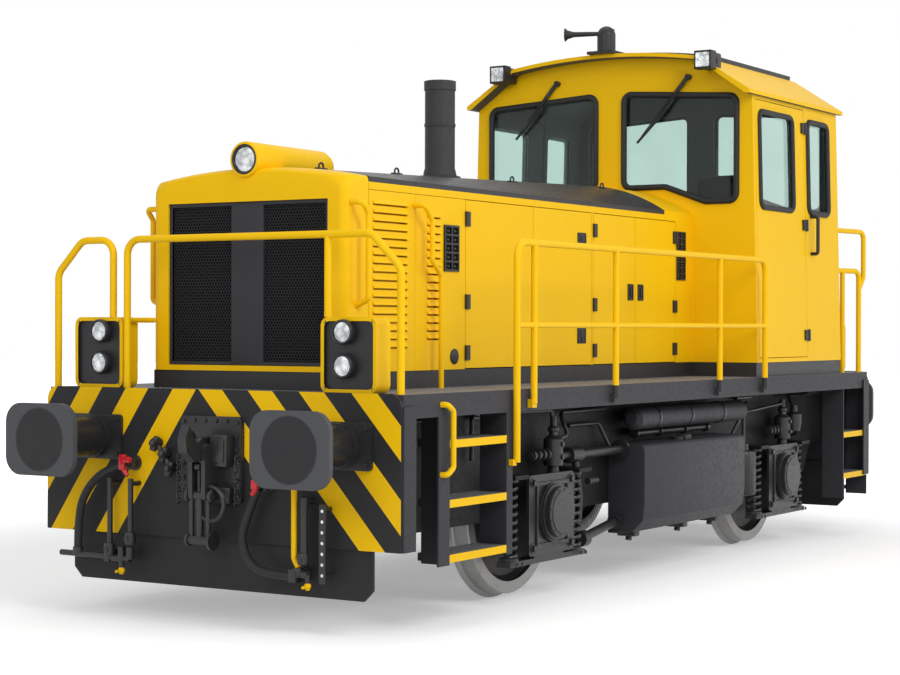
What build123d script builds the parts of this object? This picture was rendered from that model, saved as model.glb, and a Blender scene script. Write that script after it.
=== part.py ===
"""Two-axle diesel shunting locomotive as an assembly of separate pieces.

Frame: +X forward (bonnet end), +Y left, +Z up, millimetres. The origin is half way
between the buffer faces, on the centre line, at the level of the wheel flanges.
"""
import os
from math import pi, radians, tan

from build123d import *

# ---------------------------------------------------------------- overall sizes
length_over_buffers = 7970
rail_z = 30                      # rail level, one flange depth above the flanges
buffer_length = 478              # buffer face to headstock face
seat_gap = 0.3                   # fit between pieces that seat on curved or sliding faces
panel_gap = 4                    # gap between two fixed panels
door_gap = 5                     # gap round a door leaf

headstock_x = length_over_buffers / 2 - buffer_length
deck_half_width = 1257
deck_top_z = 1325
deck_plate = 12
deck_edge_height = 130
deck_edge_width = 60

# ---------------------------------------------------------------- headstocks
plate_thickness = 25
plate_bottom_z = 485
plate_top_z = deck_top_z + 5
plate_corner_radius = 70
return_depth = 105
deflector_half_width = 1065
deflector_bottom_z = 208
deflector_thickness = 16

# ---------------------------------------------------------------- running gear
gauge_back_to_back = 1360
tyre_width = 135
tread_radius = 525
flange_height = 30
flange_thickness = 32
rim_thickness = 85
web_thickness = 32
hub_radius = 165
hub_width = 190
axle_radius = 85
journal_radius = 65
journal_end_y = 1045
front_axle_x = 1585
rear_axle_x = -2085
axle_z = rail_z + tread_radius

frame_inner_y = 900
frame_thickness = 25
frame_bottom_z = 520
frame_top_z = deck_top_z - deck_edge_height
stretcher_thickness = 20
stretcher_bottom_z = 700

axlebox_half_width = 185
axlebox_half_height = 210
axlebox_plate_width = 565
axlebox_plate_height = 490
axlebox_plate_y = 1085
axlebox_plate_thickness = 20
axlebox_cover_radius = 156
axlebox_cover_y = 1180
journal_clearance = 0.3

spring_offset_x = 400
spring_radius = 60
spring_y = 1050
spring_bottom_z = 282
spring_top_z = 775
spring_beam_height = 32
spring_beam_depth = 120
bracket_thickness = 25

# ---------------------------------------------------------------- buffers and draw gear
buffer_y = 875
buffer_z = rail_z + 1014
buffer_head_width = 514
buffer_head_height = 410
buffer_head_corner = 110
buffer_head_thickness = 34
buffer_base_width = 410
buffer_base_height = 260
buffer_base_thickness = 22
buffer_casing_radius = 112
buffer_casing_length = 270
buffer_plunger_radius = 92
coupling_plate_half_width = 215
coupling_plate_bottom_z = 700
coupling_plate_top_z = 1182
coupling_plate_thickness = 30
hook_z = 1010
hook_thickness = 60
upper_trunnion_z = 745
lower_trunnion_z = 495

# ---------------------------------------------------------------- bonnet
bonnet_front_x = 3220
cowl_rear_x = 3000
bonnet_half_width = 700
bonnet_wall = 30
bonnet_side_top_z = 2537
bonnet_crown_z = 2740
cowl_nose_radius = 100
cowl_corner_radius = 55
plinth_top_z = 1430
plinth_inset = 10
plinth_wall = 40
door_bottom_z = plinth_top_z + 6
door_top_z = 2460
fixed_panel_rear_x = 1950        # hinge seam of the folding pair
fold_seam_x = 1115               # seam between the two folding leaves
middle_seam_x = 300              # post between the folding pair and the third leaf
middle_post_width = 24
meeting_seam_x = -345            # seam where the third and fourth leaves meet
rear_seam_x = -1000              # hinge seam of the fourth leaf
top_panel_front_seam_x = 2515
top_panel_rear_seam_x = 355
top_panel_rear_x = -815
top_panel_thickness = 20
leaf_thickness = 26
hinge_radius = 9
hinge_length = 90
leaf_hinge_z = (1530, 1840, 2345)

panel_seam = 3                   # open joint above and inside the fixed side panels
louvre_pitch = 48
louvre_height = 26
louvre_depth = 12
louvre_slot = 10
louvre_columns = (
    # front x, rear x, top row z, rows
    (2955, 2595, 2386, 18),
    (2385, 2235, 2338, 16),
)

grille_half_width = 575
grille_bottom_z = 1461
grille_top_z = 2404
grille_strip_half_width = 115
grille_frame = 22
grille_sheet = 4
radiator_depth = 80

# ---------------------------------------------------------------- cab
cab_front_x = -1305
cab_rear_x = -2985
cab_half_width_bottom = 1220
cab_half_width_top = 1170
cab_bottom_z = plinth_top_z
cab_eaves_z = 3400
cab_wall = 50
roof_shoulder_y = 790
roof_shoulder_z = 3668
roof_crown_z = 3732
roof_thickness = 28
roof_front_overhang = 130
roof_rear_overhang = 60
roof_side_overhang = 34

cab_door_front_x = -1350
cab_door_rear_x = -2285
cab_door_bottom_z = 1465
cab_door_top_z = 3370
door_window_front_x = -1415
door_window_rear_x = -2050
side_window_front_x = -2350
side_window_rear_x = -2770
window_bottom_z = 2580
window_top_z = 3290
window_corner_radius = 60
glass_thickness = 8
cab_hinge_radius = 12
cab_hinge_x = cab_door_rear_x - door_gap - 3
cab_hinge_z = (1630, 2480, 3230)

pillar_half_width = 120
front_window_outer_y = 1050
front_window_top_z = 3460
front_window_bottom_z = 2745
front_window_drop_z = 2625
front_window_bend_inner_y = 470
front_window_bend_outer_y = 800
front_window_top_fall = 60       # how much lower the outer top corner lies
front_window_corner = 60

# ---------------------------------------------------------------- handrails
rail_radius = 21
post_radius = 20
middle_bar_radius = 17
rail_bend = 90
side_rail_y = 1285
side_rail_top_z = 2180
side_rail_middle_z = 1699
side_post_x = (2130, 1085, -495, -1290)
side_rail_front_x = 2330
side_rail_foot_z = 905
rail_foot_z = 1240
end_rail_x = 3455
end_rail_y = 1222
end_rail_top_z = 2190
end_post_y = 685
tie_bar_z = 1722
rear_rail_y = 1232
rear_rail_end_x = -3455
grab_handle_y = 1292

# ---------------------------------------------------------------- lamp boxes and hoses
lamp_box_inner_y = 708
lamp_box_outer_y = 1075
lamp_box_top_z = 1739
lamp_box_depth = 135
lamp_box_face_x = 3470
horn_x = -1240
horn_body_radius = 70
hose_x = headstock_x + 83
hose_radius = 24
hose_cock_radius = 26


def block(x_range, y_range, z_range, mode=Mode.ADD):
    """Add a rectangular block, given by its three ranges, to the open part."""
    corner = (min(x_range), min(y_range), min(z_range))
    sizes = [max(pair) - min(pair) for pair in (x_range, y_range, z_range)]
    with Locations(corner):
        Box(*sizes, align=(Align.MIN, Align.MIN, Align.MIN), mode=mode)


def cylinder_x(radius, x_range, y, z, mode=Mode.ADD):
    """Add a cylinder lying along X to the open part."""
    with BuildSketch(Plane.YZ.offset(min(x_range))) as disc:
        with Locations((y, z)):
            Circle(radius)
    extrude(disc.sketch, amount=max(x_range) - min(x_range), mode=mode)


def cylinder_y(radius, y_range, x, z, mode=Mode.ADD):
    """Add a cylinder lying along Y to the open part."""
    with BuildSketch(Plane.XZ.offset(-max(y_range))) as disc:
        with Locations((x, z)):
            Circle(radius)
    extrude(disc.sketch, amount=max(y_range) - min(y_range), mode=mode)


def cylinder_z(radius, z_range, x, y, mode=Mode.ADD):
    """Add an upright cylinder to the open part."""
    with BuildSketch(Plane.XY.offset(min(z_range))) as disc:
        with Locations((x, y)):
            Circle(radius)
    extrude(disc.sketch, amount=max(z_range) - min(z_range), mode=mode)


def tube(points, radius=rail_radius, bend=rail_bend):
    """Add a round bar along a route of straight runs and bends to the open part."""
    with BuildLine() as route:
        if len(points) == 2:
            Line(*points)
        else:
            FilletPolyline(*points, radius=bend)
    for run in route.line.edges():
        with BuildSketch(Plane(origin=run @ 0, z_dir=run % 0)) as disc:
            Circle(radius)
        if run.geom_type == GeomType.LINE:
            extrude(disc.sketch, amount=run.length)
        else:
            sweep(disc.sketch, path=run)


def save(piece, name):
    """Label a finished piece and write it as a STEP file."""
    piece.part.label = name
    export_step(piece.part, f"parts/{name}.step")


def both_sides():
    """Mirror what the open part holds to the other side of the centre line."""
    mirror(about=Plane.XZ)


def both_ends():
    """Mirror what the open part holds to the other end."""
    mirror(about=Plane.YZ)


# ================================================================ underframe
def make_underframe():
    """Two side frames with gaps for the axleboxes, joined by stretchers."""
    stretcher_xs = (2230, 950, -250, -1450, -2730)
    frame_outer_y = frame_inner_y + frame_thickness
    inner_x = headstock_x - plate_thickness
    horn_half = axlebox_half_width + seat_gap
    horn_top_z = axle_z + axlebox_half_height + seat_gap
    with BuildPart() as underframe:
        with BuildSketch(Plane.XZ.offset(-frame_outer_y)):
            with BuildLine():
                Polyline(
                    (-inner_x, frame_top_z), (inner_x, frame_top_z),
                    (inner_x, frame_bottom_z + 230), (inner_x - 420, frame_bottom_z + 230),
                    (inner_x - 560, frame_bottom_z), (-inner_x + 560, frame_bottom_z),
                    (-inner_x + 420, frame_bottom_z + 230), (-inner_x, frame_bottom_z + 230),
                    (-inner_x, frame_top_z),
                )
            make_face()
            for axle_x in (front_axle_x, rear_axle_x):
                with Locations((axle_x, (frame_bottom_z + horn_top_z) / 2)):
                    Rectangle(2 * horn_half, horn_top_z - frame_bottom_z, mode=Mode.SUBTRACT)
        extrude(amount=frame_thickness)
        for axle_x in (front_axle_x, rear_axle_x):
            for offset in (-spring_offset_x, spring_offset_x):
                spring_x = axle_x + offset
                block((spring_x - 80, spring_x + 80), (frame_outer_y, spring_y + spring_radius + 15),
                      (spring_top_z, spring_top_z + bracket_thickness))
        both_sides()
        for x in stretcher_xs:
            block((x - stretcher_thickness / 2, x + stretcher_thickness / 2),
                  (-frame_inner_y, frame_inner_y), (stretcher_bottom_z, frame_top_z))
    save(underframe, "underframe")


def make_deck():
    """The walkway plate on its edge channel."""
    inner_x = headstock_x - plate_thickness
    with BuildPart() as deck:
        block((-inner_x, inner_x), (-deck_half_width, deck_half_width),
              (deck_top_z - deck_plate, deck_top_z))
        for side in (-1, 1):
            block((-inner_x, inner_x),
                  (side * (deck_half_width - deck_edge_width), side * deck_half_width),
                  (frame_top_z, deck_top_z - deck_plate))
            block((-inner_x, inner_x),
                  (side * (frame_inner_y - 60), side * (frame_inner_y + frame_thickness)),
                  (frame_top_z, deck_top_z - deck_plate))
    save(deck, "walkway_deck")


def make_headstock(end, name):
    """The striped end plate with its rounded top corners and folded side returns."""
    face_x = headstock_x
    with BuildPart() as headstock:
        with BuildSketch(Plane.YZ.offset(face_x - plate_thickness)):
            with Locations((0, (plate_bottom_z + plate_top_z) / 2)):
                Rectangle(2 * deck_half_width, plate_top_z - plate_bottom_z)
        extrude(amount=plate_thickness)
        corners = headstock.edges().filter_by(Axis.X).group_by(Axis.Z)[-1]
        fillet(corners, plate_corner_radius)
        for side in (-1, 1):
            block((face_x - plate_thickness - return_depth, face_x - plate_thickness),
                  (side * (deck_half_width + 4), side * (deck_half_width + 14)),
                  (plate_bottom_z, plate_top_z - plate_corner_radius))
            block((face_x - plate_thickness, face_x - plate_thickness / 2),
                  (side * (deck_half_width - 1), side * (deck_half_width + 14)),
                  (plate_bottom_z, plate_top_z - plate_corner_radius))
        if end < 0:
            mirror(about=Plane.YZ, mode=Mode.REPLACE)
    save(headstock, name)


def make_deflectors():
    """The dark plates hung under both headstocks."""
    with BuildPart() as deflectors:
        with BuildSketch(Plane.YZ.offset(headstock_x - plate_thickness - deflector_thickness)):
            with BuildLine():
                Polyline(
                    (-deflector_half_width, deflector_bottom_z + 60),
                    (-deflector_half_width + 60, deflector_bottom_z),
                    (deflector_half_width - 60, deflector_bottom_z),
                    (deflector_half_width, deflector_bottom_z + 60),
                    (deflector_half_width, plate_bottom_z + 90),
                    (-deflector_half_width, plate_bottom_z + 90),
                    (-deflector_half_width, deflector_bottom_z + 60),
                )
            make_face()
        extrude(amount=deflector_thickness)
        both_ends()
    save(deflectors, "deflector_plates")


# ================================================================ buffers and draw gear
def make_buffers():
    """Buffer casings on base plates at both ends, and the plungers with their heads."""
    base_x = headstock_x
    casing_start = base_x + buffer_base_thickness
    casing_end = casing_start + buffer_casing_length
    face_x = length_over_buffers / 2
    head_back_x = face_x - buffer_head_thickness
    with BuildPart() as casings:
        for y in (-buffer_y, buffer_y):
            with BuildSketch(Plane.YZ.offset(base_x)):
                with Locations((y, buffer_z)):
                    RectangleRounded(buffer_base_width, buffer_base_height, 24)
            extrude(amount=buffer_base_thickness)
            with BuildSketch(Plane.YZ.offset(casing_start)):
                with Locations((y, buffer_z)):
                    Circle(buffer_casing_radius + 14)
            extrude(amount=40)
            cylinder_x(buffer_casing_radius, (casing_start + 40, casing_end), y, buffer_z)
            cylinder_x(buffer_plunger_radius + seat_gap, (casing_end - 120, casing_end), y, buffer_z,
                       Mode.SUBTRACT)
        both_ends()
    save(casings, "buffer_casings")
    with BuildPart() as heads:
        for y in (-buffer_y, buffer_y):
            with BuildSketch(Plane.YZ.offset(head_back_x)):
                with Locations((y, buffer_z)):
                    RectangleRounded(buffer_head_width, buffer_head_height, buffer_head_corner)
            extrude(amount=buffer_head_thickness)
            cylinder_x(buffer_plunger_radius, (casing_end - 120 + seat_gap, head_back_x), y, buffer_z)
        both_ends()
    save(heads, "buffer_heads")


def make_draw_gear():
    """At each end a draw hook in its bolted plate, and the screw coupling hung from it."""
    face_x = headstock_x + coupling_plate_thickness
    shank_x = face_x + 55
    with BuildPart() as hook:
        with BuildSketch(Plane.YZ.offset(headstock_x)):
            with Locations((0, (coupling_plate_bottom_z + coupling_plate_top_z) / 2)):
                RectangleRounded(2 * coupling_plate_half_width,
                                 coupling_plate_top_z - coupling_plate_bottom_z, 25)
        extrude(amount=coupling_plate_thickness)
        with BuildSketch(Plane.XZ.offset(-hook_thickness / 2)):
            with BuildLine():
                Polyline(
                    (face_x, hook_z - 60), (shank_x, hook_z - 70), (shank_x + 120, hook_z - 75),
                    (shank_x + 190, hook_z - 20), (shank_x + 200, hook_z + 60),
                    (shank_x + 165, hook_z + 130), (shank_x + 135, hook_z + 60),
                    (shank_x + 95, hook_z + 30), (shank_x + 55, hook_z + 55),
                    (face_x, hook_z + 60), (face_x, hook_z - 60),
                )
            make_face()
            with Locations((shank_x + 30, hook_z - 5)):
                Circle(24, mode=Mode.SUBTRACT)
        extrude(amount=hook_thickness)
        both_ends()
    save(hook, "draw_hooks")
    pin_x = shank_x + 30
    pin_z = hook_z - 5
    with BuildPart() as coupling:
        cylinder_y(24 - seat_gap, (-62, 62), pin_x, pin_z)
        for side in (-1, 1):
            with BuildSketch(Plane.XZ.offset(-side * 46)):
                with Locations((pin_x + 8, pin_z - 130)):
                    SlotOverall(320, 62, rotation=90)
            extrude(amount=14, both=True)
        screw_x = pin_x + 8
        for z in (upper_trunnion_z, lower_trunnion_z):
            cylinder_y(26, (-78, 78), screw_x, z)
        cylinder_z(20, (lower_trunnion_z, upper_trunnion_z), screw_x, 0)
        for y in (-58, 58):
            cylinder_z(14, (lower_trunnion_z, upper_trunnion_z), screw_x, y)
        cylinder_y(52, (78, 98), screw_x, lower_trunnion_z)
        both_ends()
    save(coupling, "screw_couplings")


# ================================================================ wheels
def make_wheelset(axle_x, place):
    """A pair of flanged wheels on one axle."""
    inner_y = gauge_back_to_back / 2
    outer_y = inner_y + tyre_width
    middle_y = (inner_y + outer_y) / 2
    rim_radius = tread_radius - rim_thickness
    flange_radius = tread_radius + flange_height
    hub_end_y = middle_y + hub_width / 2
    axis = Axis((axle_x, 0, axle_z), (0, 1, 0))
    with BuildPart() as wheelset:
        with BuildSketch(Plane(origin=(axle_x, 0, axle_z), x_dir=(0, 1, 0), z_dir=(1, 0, 0))):
            with BuildLine():
                Polyline(
                    (middle_y - hub_width / 2, axle_radius + seat_gap),
                    (middle_y + hub_width / 2, axle_radius + seat_gap),
                    (middle_y + hub_width / 2, hub_radius - 12),
                    (middle_y + hub_width / 2 - 12, hub_radius),
                    (middle_y + web_thickness / 2 + 10, hub_radius + 20),
                    (middle_y + web_thickness / 2, rim_radius - 25),
                    (outer_y - 20, rim_radius), (outer_y, rim_radius + 8),
                    (outer_y, tread_radius - 8), (outer_y - 6, tread_radius - 3),
                    (inner_y + flange_thickness, tread_radius),
                    (inner_y + flange_thickness - 8, tread_radius + 12),
                    (inner_y + flange_thickness - 12, flange_radius - 4),
                    (inner_y + 14, flange_radius), (inner_y + 6, flange_radius - 6),
                    (inner_y, flange_radius - 16),
                    (inner_y, rim_radius + 8), (inner_y + 20, rim_radius),
                    (middle_y - web_thickness / 2, rim_radius - 25),
                    (middle_y - web_thickness / 2 - 10, hub_radius + 20),
                    (middle_y - hub_width / 2 + 12, hub_radius),
                    (middle_y - hub_width / 2, hub_radius - 12),
                    (middle_y - hub_width / 2, axle_radius + seat_gap),
                )
            make_face()
        revolve(axis=axis)
        both_sides()
        cylinder_y(axle_radius, (-hub_end_y, hub_end_y), axle_x, axle_z)
        cylinder_y(journal_radius, (-journal_end_y, journal_end_y), axle_x, axle_z)
    save(wheelset, f"{place}_wheelset")


def make_axleboxes():
    """Four axleboxes sliding in the side frames, each on a beam that carries its springs."""
    body_inner_y = frame_inner_y - 30
    plate_face_y = axlebox_plate_y + axlebox_plate_thickness
    beam_top_z = spring_bottom_z
    with BuildPart() as axleboxes:
        for axle_x in (front_axle_x, rear_axle_x):
            block((axle_x - axlebox_half_width, axle_x + axlebox_half_width),
                  (body_inner_y, axlebox_plate_y),
                  (beam_top_z - spring_beam_height, axle_z + axlebox_half_height))
            with BuildSketch(Plane.XZ.offset(-plate_face_y)):
                with Locations((axle_x, axle_z - 10)):
                    RectangleRounded(axlebox_plate_width, axlebox_plate_height, 28)
            extrude(amount=axlebox_plate_thickness)
            cylinder_y(axlebox_cover_radius + 26, (plate_face_y, plate_face_y + 22), axle_x, axle_z)
            cylinder_y(axlebox_cover_radius, (plate_face_y + 22, axlebox_cover_y), axle_x, axle_z)
            reach = spring_offset_x + spring_radius + 12
            block((axle_x - reach, axle_x + reach),
                  (spring_y - spring_beam_depth / 2, axlebox_plate_y),
                  (beam_top_z - spring_beam_height, beam_top_z))
            cylinder_y(journal_radius + journal_clearance,
                       (body_inner_y, journal_end_y + panel_gap), axle_x, axle_z,
                       Mode.SUBTRACT)
        both_sides()
    save(axleboxes, "axleboxes")


def make_springs():
    """The coil springs between the axlebox beams and the frame brackets."""
    with BuildPart() as springs:
        for axle_x in (front_axle_x, rear_axle_x):
            for offset in (-spring_offset_x, spring_offset_x):
                cylinder_z(spring_radius, (spring_bottom_z, spring_top_z), axle_x + offset,
                           spring_y - 20)
        both_sides()
    save(springs, "suspension_springs")


def make_brake_rigging():
    """Brake blocks on hangers at each wheel, tied by cross beams."""
    tread_y = gauge_back_to_back / 2 + tyre_width / 2 + 12
    block_gap = 12
    with BuildPart() as brakes:
        for axle_x, facing in ((front_axle_x, -1), (rear_axle_x, 1)):
            with BuildSketch(Plane.XZ.offset(-(tread_y + 40))):
                with Locations((axle_x, axle_z)):
                    Circle(tread_radius + block_gap + 60)
                    Circle(tread_radius + block_gap, mode=Mode.SUBTRACT)
                with Locations((axle_x + facing * (tread_radius + block_gap + 30), axle_z - 120)):
                    Rectangle(200, 300, mode=Mode.INTERSECT)
            extrude(amount=80)
            hanger_x = axle_x + facing * (tread_radius + block_gap + 55)
            block((hanger_x - 22, hanger_x + 22), (tread_y - 18, tread_y + 18),
                  (axle_z - 150, stretcher_bottom_z + 260))
            block((hanger_x - 22, hanger_x + 22), (tread_y - 18, frame_inner_y),
                  (stretcher_bottom_z + 200, stretcher_bottom_z + 260))
        both_sides()
        for axle_x, facing in ((front_axle_x, -1), (rear_axle_x, 1)):
            hanger_x = axle_x + facing * (tread_radius + block_gap + 55)
            cylinder_y(20, (-tread_y, tread_y), hanger_x, axle_z - 120)
    save(brakes, "brake_rigging")


# ================================================================ tanks and steps
def make_tanks():
    """Fuel tanks under the walkway, with the air reservoirs above them."""
    tank_front_x = 500
    tank_rear_x = -1130
    tank_outer_y = 1200
    tank_top_z = 915
    tank_bottom_z = 320
    tank_top_radius = 60
    tank_slope = 190
    with BuildPart() as tanks:
        with BuildSketch(Plane.YZ.offset(tank_rear_x)) as section:
            with Locations(((frame_inner_y + frame_thickness + tank_outer_y) / 2,
                            (tank_top_z + tank_bottom_z) / 2)):
                Rectangle(tank_outer_y - frame_inner_y - frame_thickness,
                          tank_top_z - tank_bottom_z)
            # in this sketch X runs across and Y runs up
            fillet(section.vertices().group_by(Axis.X)[-1].sort_by(Axis.Y)[-1], tank_top_radius)
            chamfer(section.vertices().group_by(Axis.X)[-1].sort_by(Axis.Y)[0], tank_slope)
        extrude(amount=tank_front_x - tank_rear_x)
        both_sides()
    save(tanks, "fuel_tanks")
    with BuildPart() as reservoirs:
        with BuildSketch(Plane.XZ) as half:
            with BuildLine():
                Polyline((-1310, 0), (450, 0), (450, 40), (425, 75), (-1285, 75), (-1310, 40),
                         (-1310, 0))
            make_face()
        revolve(axis=Axis.X)
    reservoir = reservoirs.part
    with BuildPart() as pair:
        with Locations((0, 1075, 1080), (0, -1075, 1080)):
            add(reservoir)
        for side in (-1, 1):
            for x in (200, -1000):
                block((x - 20, x + 20), (side * (frame_inner_y + frame_thickness), side * 1060),
                      (1060, 1100))
    save(pair, "air_reservoirs")


def make_steps():
    """Three-tread steps at the front corners and two-tread steps at the rear corners."""
    stringers = (
        # web x, flange end x
        (3016, 3130),
        (2398, 2330),
    )
    web = 12
    tread_height = 44
    inner_y = deck_half_width - 180
    with BuildPart() as front_steps:
        for web_x, flange_x in stringers:
            outward = 1 if flange_x > web_x else -1
            block((web_x, web_x + outward * web), (inner_y, deck_half_width), (375, frame_top_z))
            block((web_x, flange_x), (deck_half_width - web, deck_half_width), (375, frame_top_z))
        for z in (1064, 735, 432):
            block((stringers[1][0], stringers[0][0]), (inner_y - 30, deck_half_width),
                  (z - tread_height, z))
        both_sides()
    save(front_steps, "front_steps")
    rear_inner_y = deflector_half_width + 15
    rear_x = headstock_x - plate_thickness
    with BuildPart() as rear_steps:
        block((-rear_x, -rear_x + web), (rear_inner_y, deck_half_width), (320, frame_top_z))
        block((-2960, -2960 + web), (rear_inner_y, deck_half_width), (320, frame_top_z))
        for z in (850, 520):
            block((-rear_x, -2960), (rear_inner_y, deck_half_width), (z - tread_height, z))
        both_sides()
    save(rear_steps, "rear_steps")


# ================================================================ bonnet
def bonnet_section(inset=0):
    """Return the bonnet's cross-section, inset by a wall (Y across, Z up)."""
    half = bonnet_half_width - inset
    with BuildSketch() as section:
        with BuildLine():
            Line((-half, plinth_top_z), (half, plinth_top_z))
            Line((half, plinth_top_z), (half, bonnet_side_top_z - inset))
            ThreePointArc((half, bonnet_side_top_z - inset), (0, bonnet_crown_z - inset),
                          (-half, bonnet_side_top_z - inset))
            Line((-half, bonnet_side_top_z - inset), (-half, plinth_top_z))
        make_face()
    return section.sketch


def make_plinth():
    """The black plinth that carries the bonnet."""
    outer = bonnet_half_width - plinth_inset
    with BuildPart() as plinth:
        block((cab_front_x, bonnet_front_x - plinth_inset), (-outer, outer),
              (deck_top_z, plinth_top_z))
        block((cab_front_x + plinth_wall, bonnet_front_x - plinth_inset - plinth_wall),
              (-outer + plinth_wall, outer - plinth_wall), (deck_top_z, plinth_top_z),
              Mode.SUBTRACT)
    save(plinth, "bonnet_plinth")


def make_cowl():
    """The rounded nose of the bonnet with its grille opening."""
    with BuildPart() as cowl:
        with BuildSketch(Plane.YZ.offset(cowl_rear_x)):
            add(bonnet_section())
        extrude(amount=bonnet_front_x - cowl_rear_x)
        nose_top = cowl.edges().filter_by(GeomType.CIRCLE).group_by(Axis.X)[-1]
        fillet(nose_top, cowl_nose_radius)
        nose_corners = cowl.edges().filter_by(Axis.Z).group_by(Axis.X)[-1]
        fillet(nose_corners, cowl_corner_radius)
        with BuildSketch(Plane.YZ.offset(cowl_rear_x)):
            add(bonnet_section(bonnet_wall))
        extrude(amount=bonnet_front_x - cowl_rear_x - bonnet_wall - 65, mode=Mode.SUBTRACT)
        block((cowl_rear_x, bonnet_front_x + 10), (-grille_half_width, grille_half_width),
              (grille_bottom_z, grille_top_z), Mode.SUBTRACT)
    save(cowl, "front_cowl")


def make_grille():
    """The framed mesh grille with its plain centre strip, and the radiator block behind it."""
    face_x = bonnet_front_x - 12
    depth = 24
    half = grille_half_width - seat_gap
    bottom = grille_bottom_z + seat_gap
    top = grille_top_z - seat_gap
    with BuildPart() as grille:
        block((face_x - depth, face_x), (-half, half), (bottom, top))
        for side in (-1, 1):
            block((face_x - depth, face_x),
                  (side * grille_strip_half_width, side * (half - grille_frame)),
                  (bottom + grille_frame, top - grille_frame), Mode.SUBTRACT)
            block((face_x - 10 - grille_sheet, face_x - 10),
                  (side * grille_strip_half_width, side * (half - grille_frame)),
                  (bottom + grille_frame, top - grille_frame))
    save(grille, "radiator_grille")
    with BuildPart() as core:
        block((face_x - depth - radiator_depth, face_x - depth), (-half, half), (bottom, top))
    save(core, "radiator_core")


def make_bonnet_shell():
    """The bonnet's top rails and the fairing that joins them ahead of the cab."""
    with BuildPart() as shell:
        with BuildSketch(Plane.YZ.offset(cab_front_x)):
            add(bonnet_section())
        extrude(amount=cowl_rear_x - panel_gap - cab_front_x)
        with BuildSketch(Plane.YZ.offset(cab_front_x)):
            add(bonnet_section(bonnet_wall))
        extrude(amount=cowl_rear_x - cab_front_x, mode=Mode.SUBTRACT)
        block((top_panel_rear_x, cowl_rear_x), (-bonnet_half_width, bonnet_half_width),
              (bonnet_side_top_z - bonnet_wall, bonnet_crown_z + 10), Mode.SUBTRACT)
        block((rear_seam_x - door_gap / 2, cowl_rear_x),
              (-bonnet_half_width - 10, bonnet_half_width + 10),
              (plinth_top_z - 10, door_top_z + door_gap), Mode.SUBTRACT)
    save(shell, "bonnet_shell")


def make_side_panels():
    """The fixed panels ahead of the doors, pressed with louvres, and the posts between doors."""
    face_y = bonnet_half_width
    inner_y = face_y - bonnet_wall
    top_z = door_top_z + door_gap - panel_seam
    front_x = cowl_rear_x - panel_gap
    post = middle_post_width / 2 - door_gap / 2
    with BuildPart() as panels:
        block((fixed_panel_rear_x + door_gap / 2, front_x), (inner_y, face_y),
              (plinth_top_z, top_z))
        for column_front_x, column_rear_x, top_row_z, rows in louvre_columns:
            row_zs = [top_row_z - louvre_pitch * row for row in range(rows)]
            with BuildSketch(Plane.YZ.offset(column_rear_x)):
                for row_z in row_zs:
                    with BuildLine():
                        Polyline((face_y - 1, row_z + louvre_height),
                                 (face_y + louvre_depth, row_z + 5),
                                 (face_y + louvre_depth, row_z), (face_y - 1, row_z),
                                 (face_y - 1, row_z + louvre_height))
                    make_face()
            extrude(amount=column_front_x - column_rear_x)
            with BuildSketch(Plane.YZ.offset(column_rear_x + 4)):
                with Locations([(face_y, row_z - louvre_slot / 2) for row_z in row_zs]):
                    Rectangle(3 * bonnet_wall, louvre_slot)
            extrude(amount=column_front_x - column_rear_x - 8, mode=Mode.SUBTRACT)
        block((top_panel_front_seam_x - panel_seam / 2, top_panel_front_seam_x + panel_seam / 2),
              (face_y - panel_seam, face_y + 1), (plinth_top_z, top_z),
              Mode.SUBTRACT)
        block((middle_seam_x - post, middle_seam_x + post), (inner_y, face_y),
              (plinth_top_z, door_top_z + door_gap))
        both_sides()
    save(panels, "bonnet_side_panels")


def make_top_panels():
    """The three black panels that close the bonnet's top."""
    seams = (
        # front x, rear x
        (cowl_rear_x - panel_gap, top_panel_front_seam_x + panel_gap / 2),
        (top_panel_front_seam_x - panel_gap / 2, top_panel_rear_seam_x + panel_gap / 2),
        (top_panel_rear_seam_x - panel_gap / 2, top_panel_rear_x + panel_gap),
    )
    base_z = bonnet_side_top_z - bonnet_wall
    with BuildPart() as panels:
        for front_x, rear_x in seams:
            with BuildSketch(Plane.YZ.offset(rear_x)):
                add(bonnet_section())
                with Locations((0, plinth_top_z)):
                    Rectangle(2 * bonnet_half_width, base_z - plinth_top_z,
                              align=(Align.CENTER, Align.MIN), mode=Mode.SUBTRACT)
            extrude(amount=front_x - rear_x)
            with BuildSketch(Plane.YZ.offset(rear_x)):
                add(bonnet_section(top_panel_thickness))
            extrude(amount=front_x - rear_x, mode=Mode.SUBTRACT)
    save(panels, "bonnet_top_panels")


def hinge(x, face_y, outward, strap_end_x, side):
    """Add three knuckles on an upright axis just off a leaf's face, each on its strap."""
    axis_y = face_y + outward * (hinge_radius + seat_gap)
    for z in leaf_hinge_z:
        cylinder_z(hinge_radius, (z - hinge_length / 2, z + hinge_length / 2), x, side * axis_y)
        block((x, strap_end_x), (side * face_y, side * (axis_y + outward * 2)),
              (z - hinge_length / 2, z + hinge_length / 2))


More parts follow.
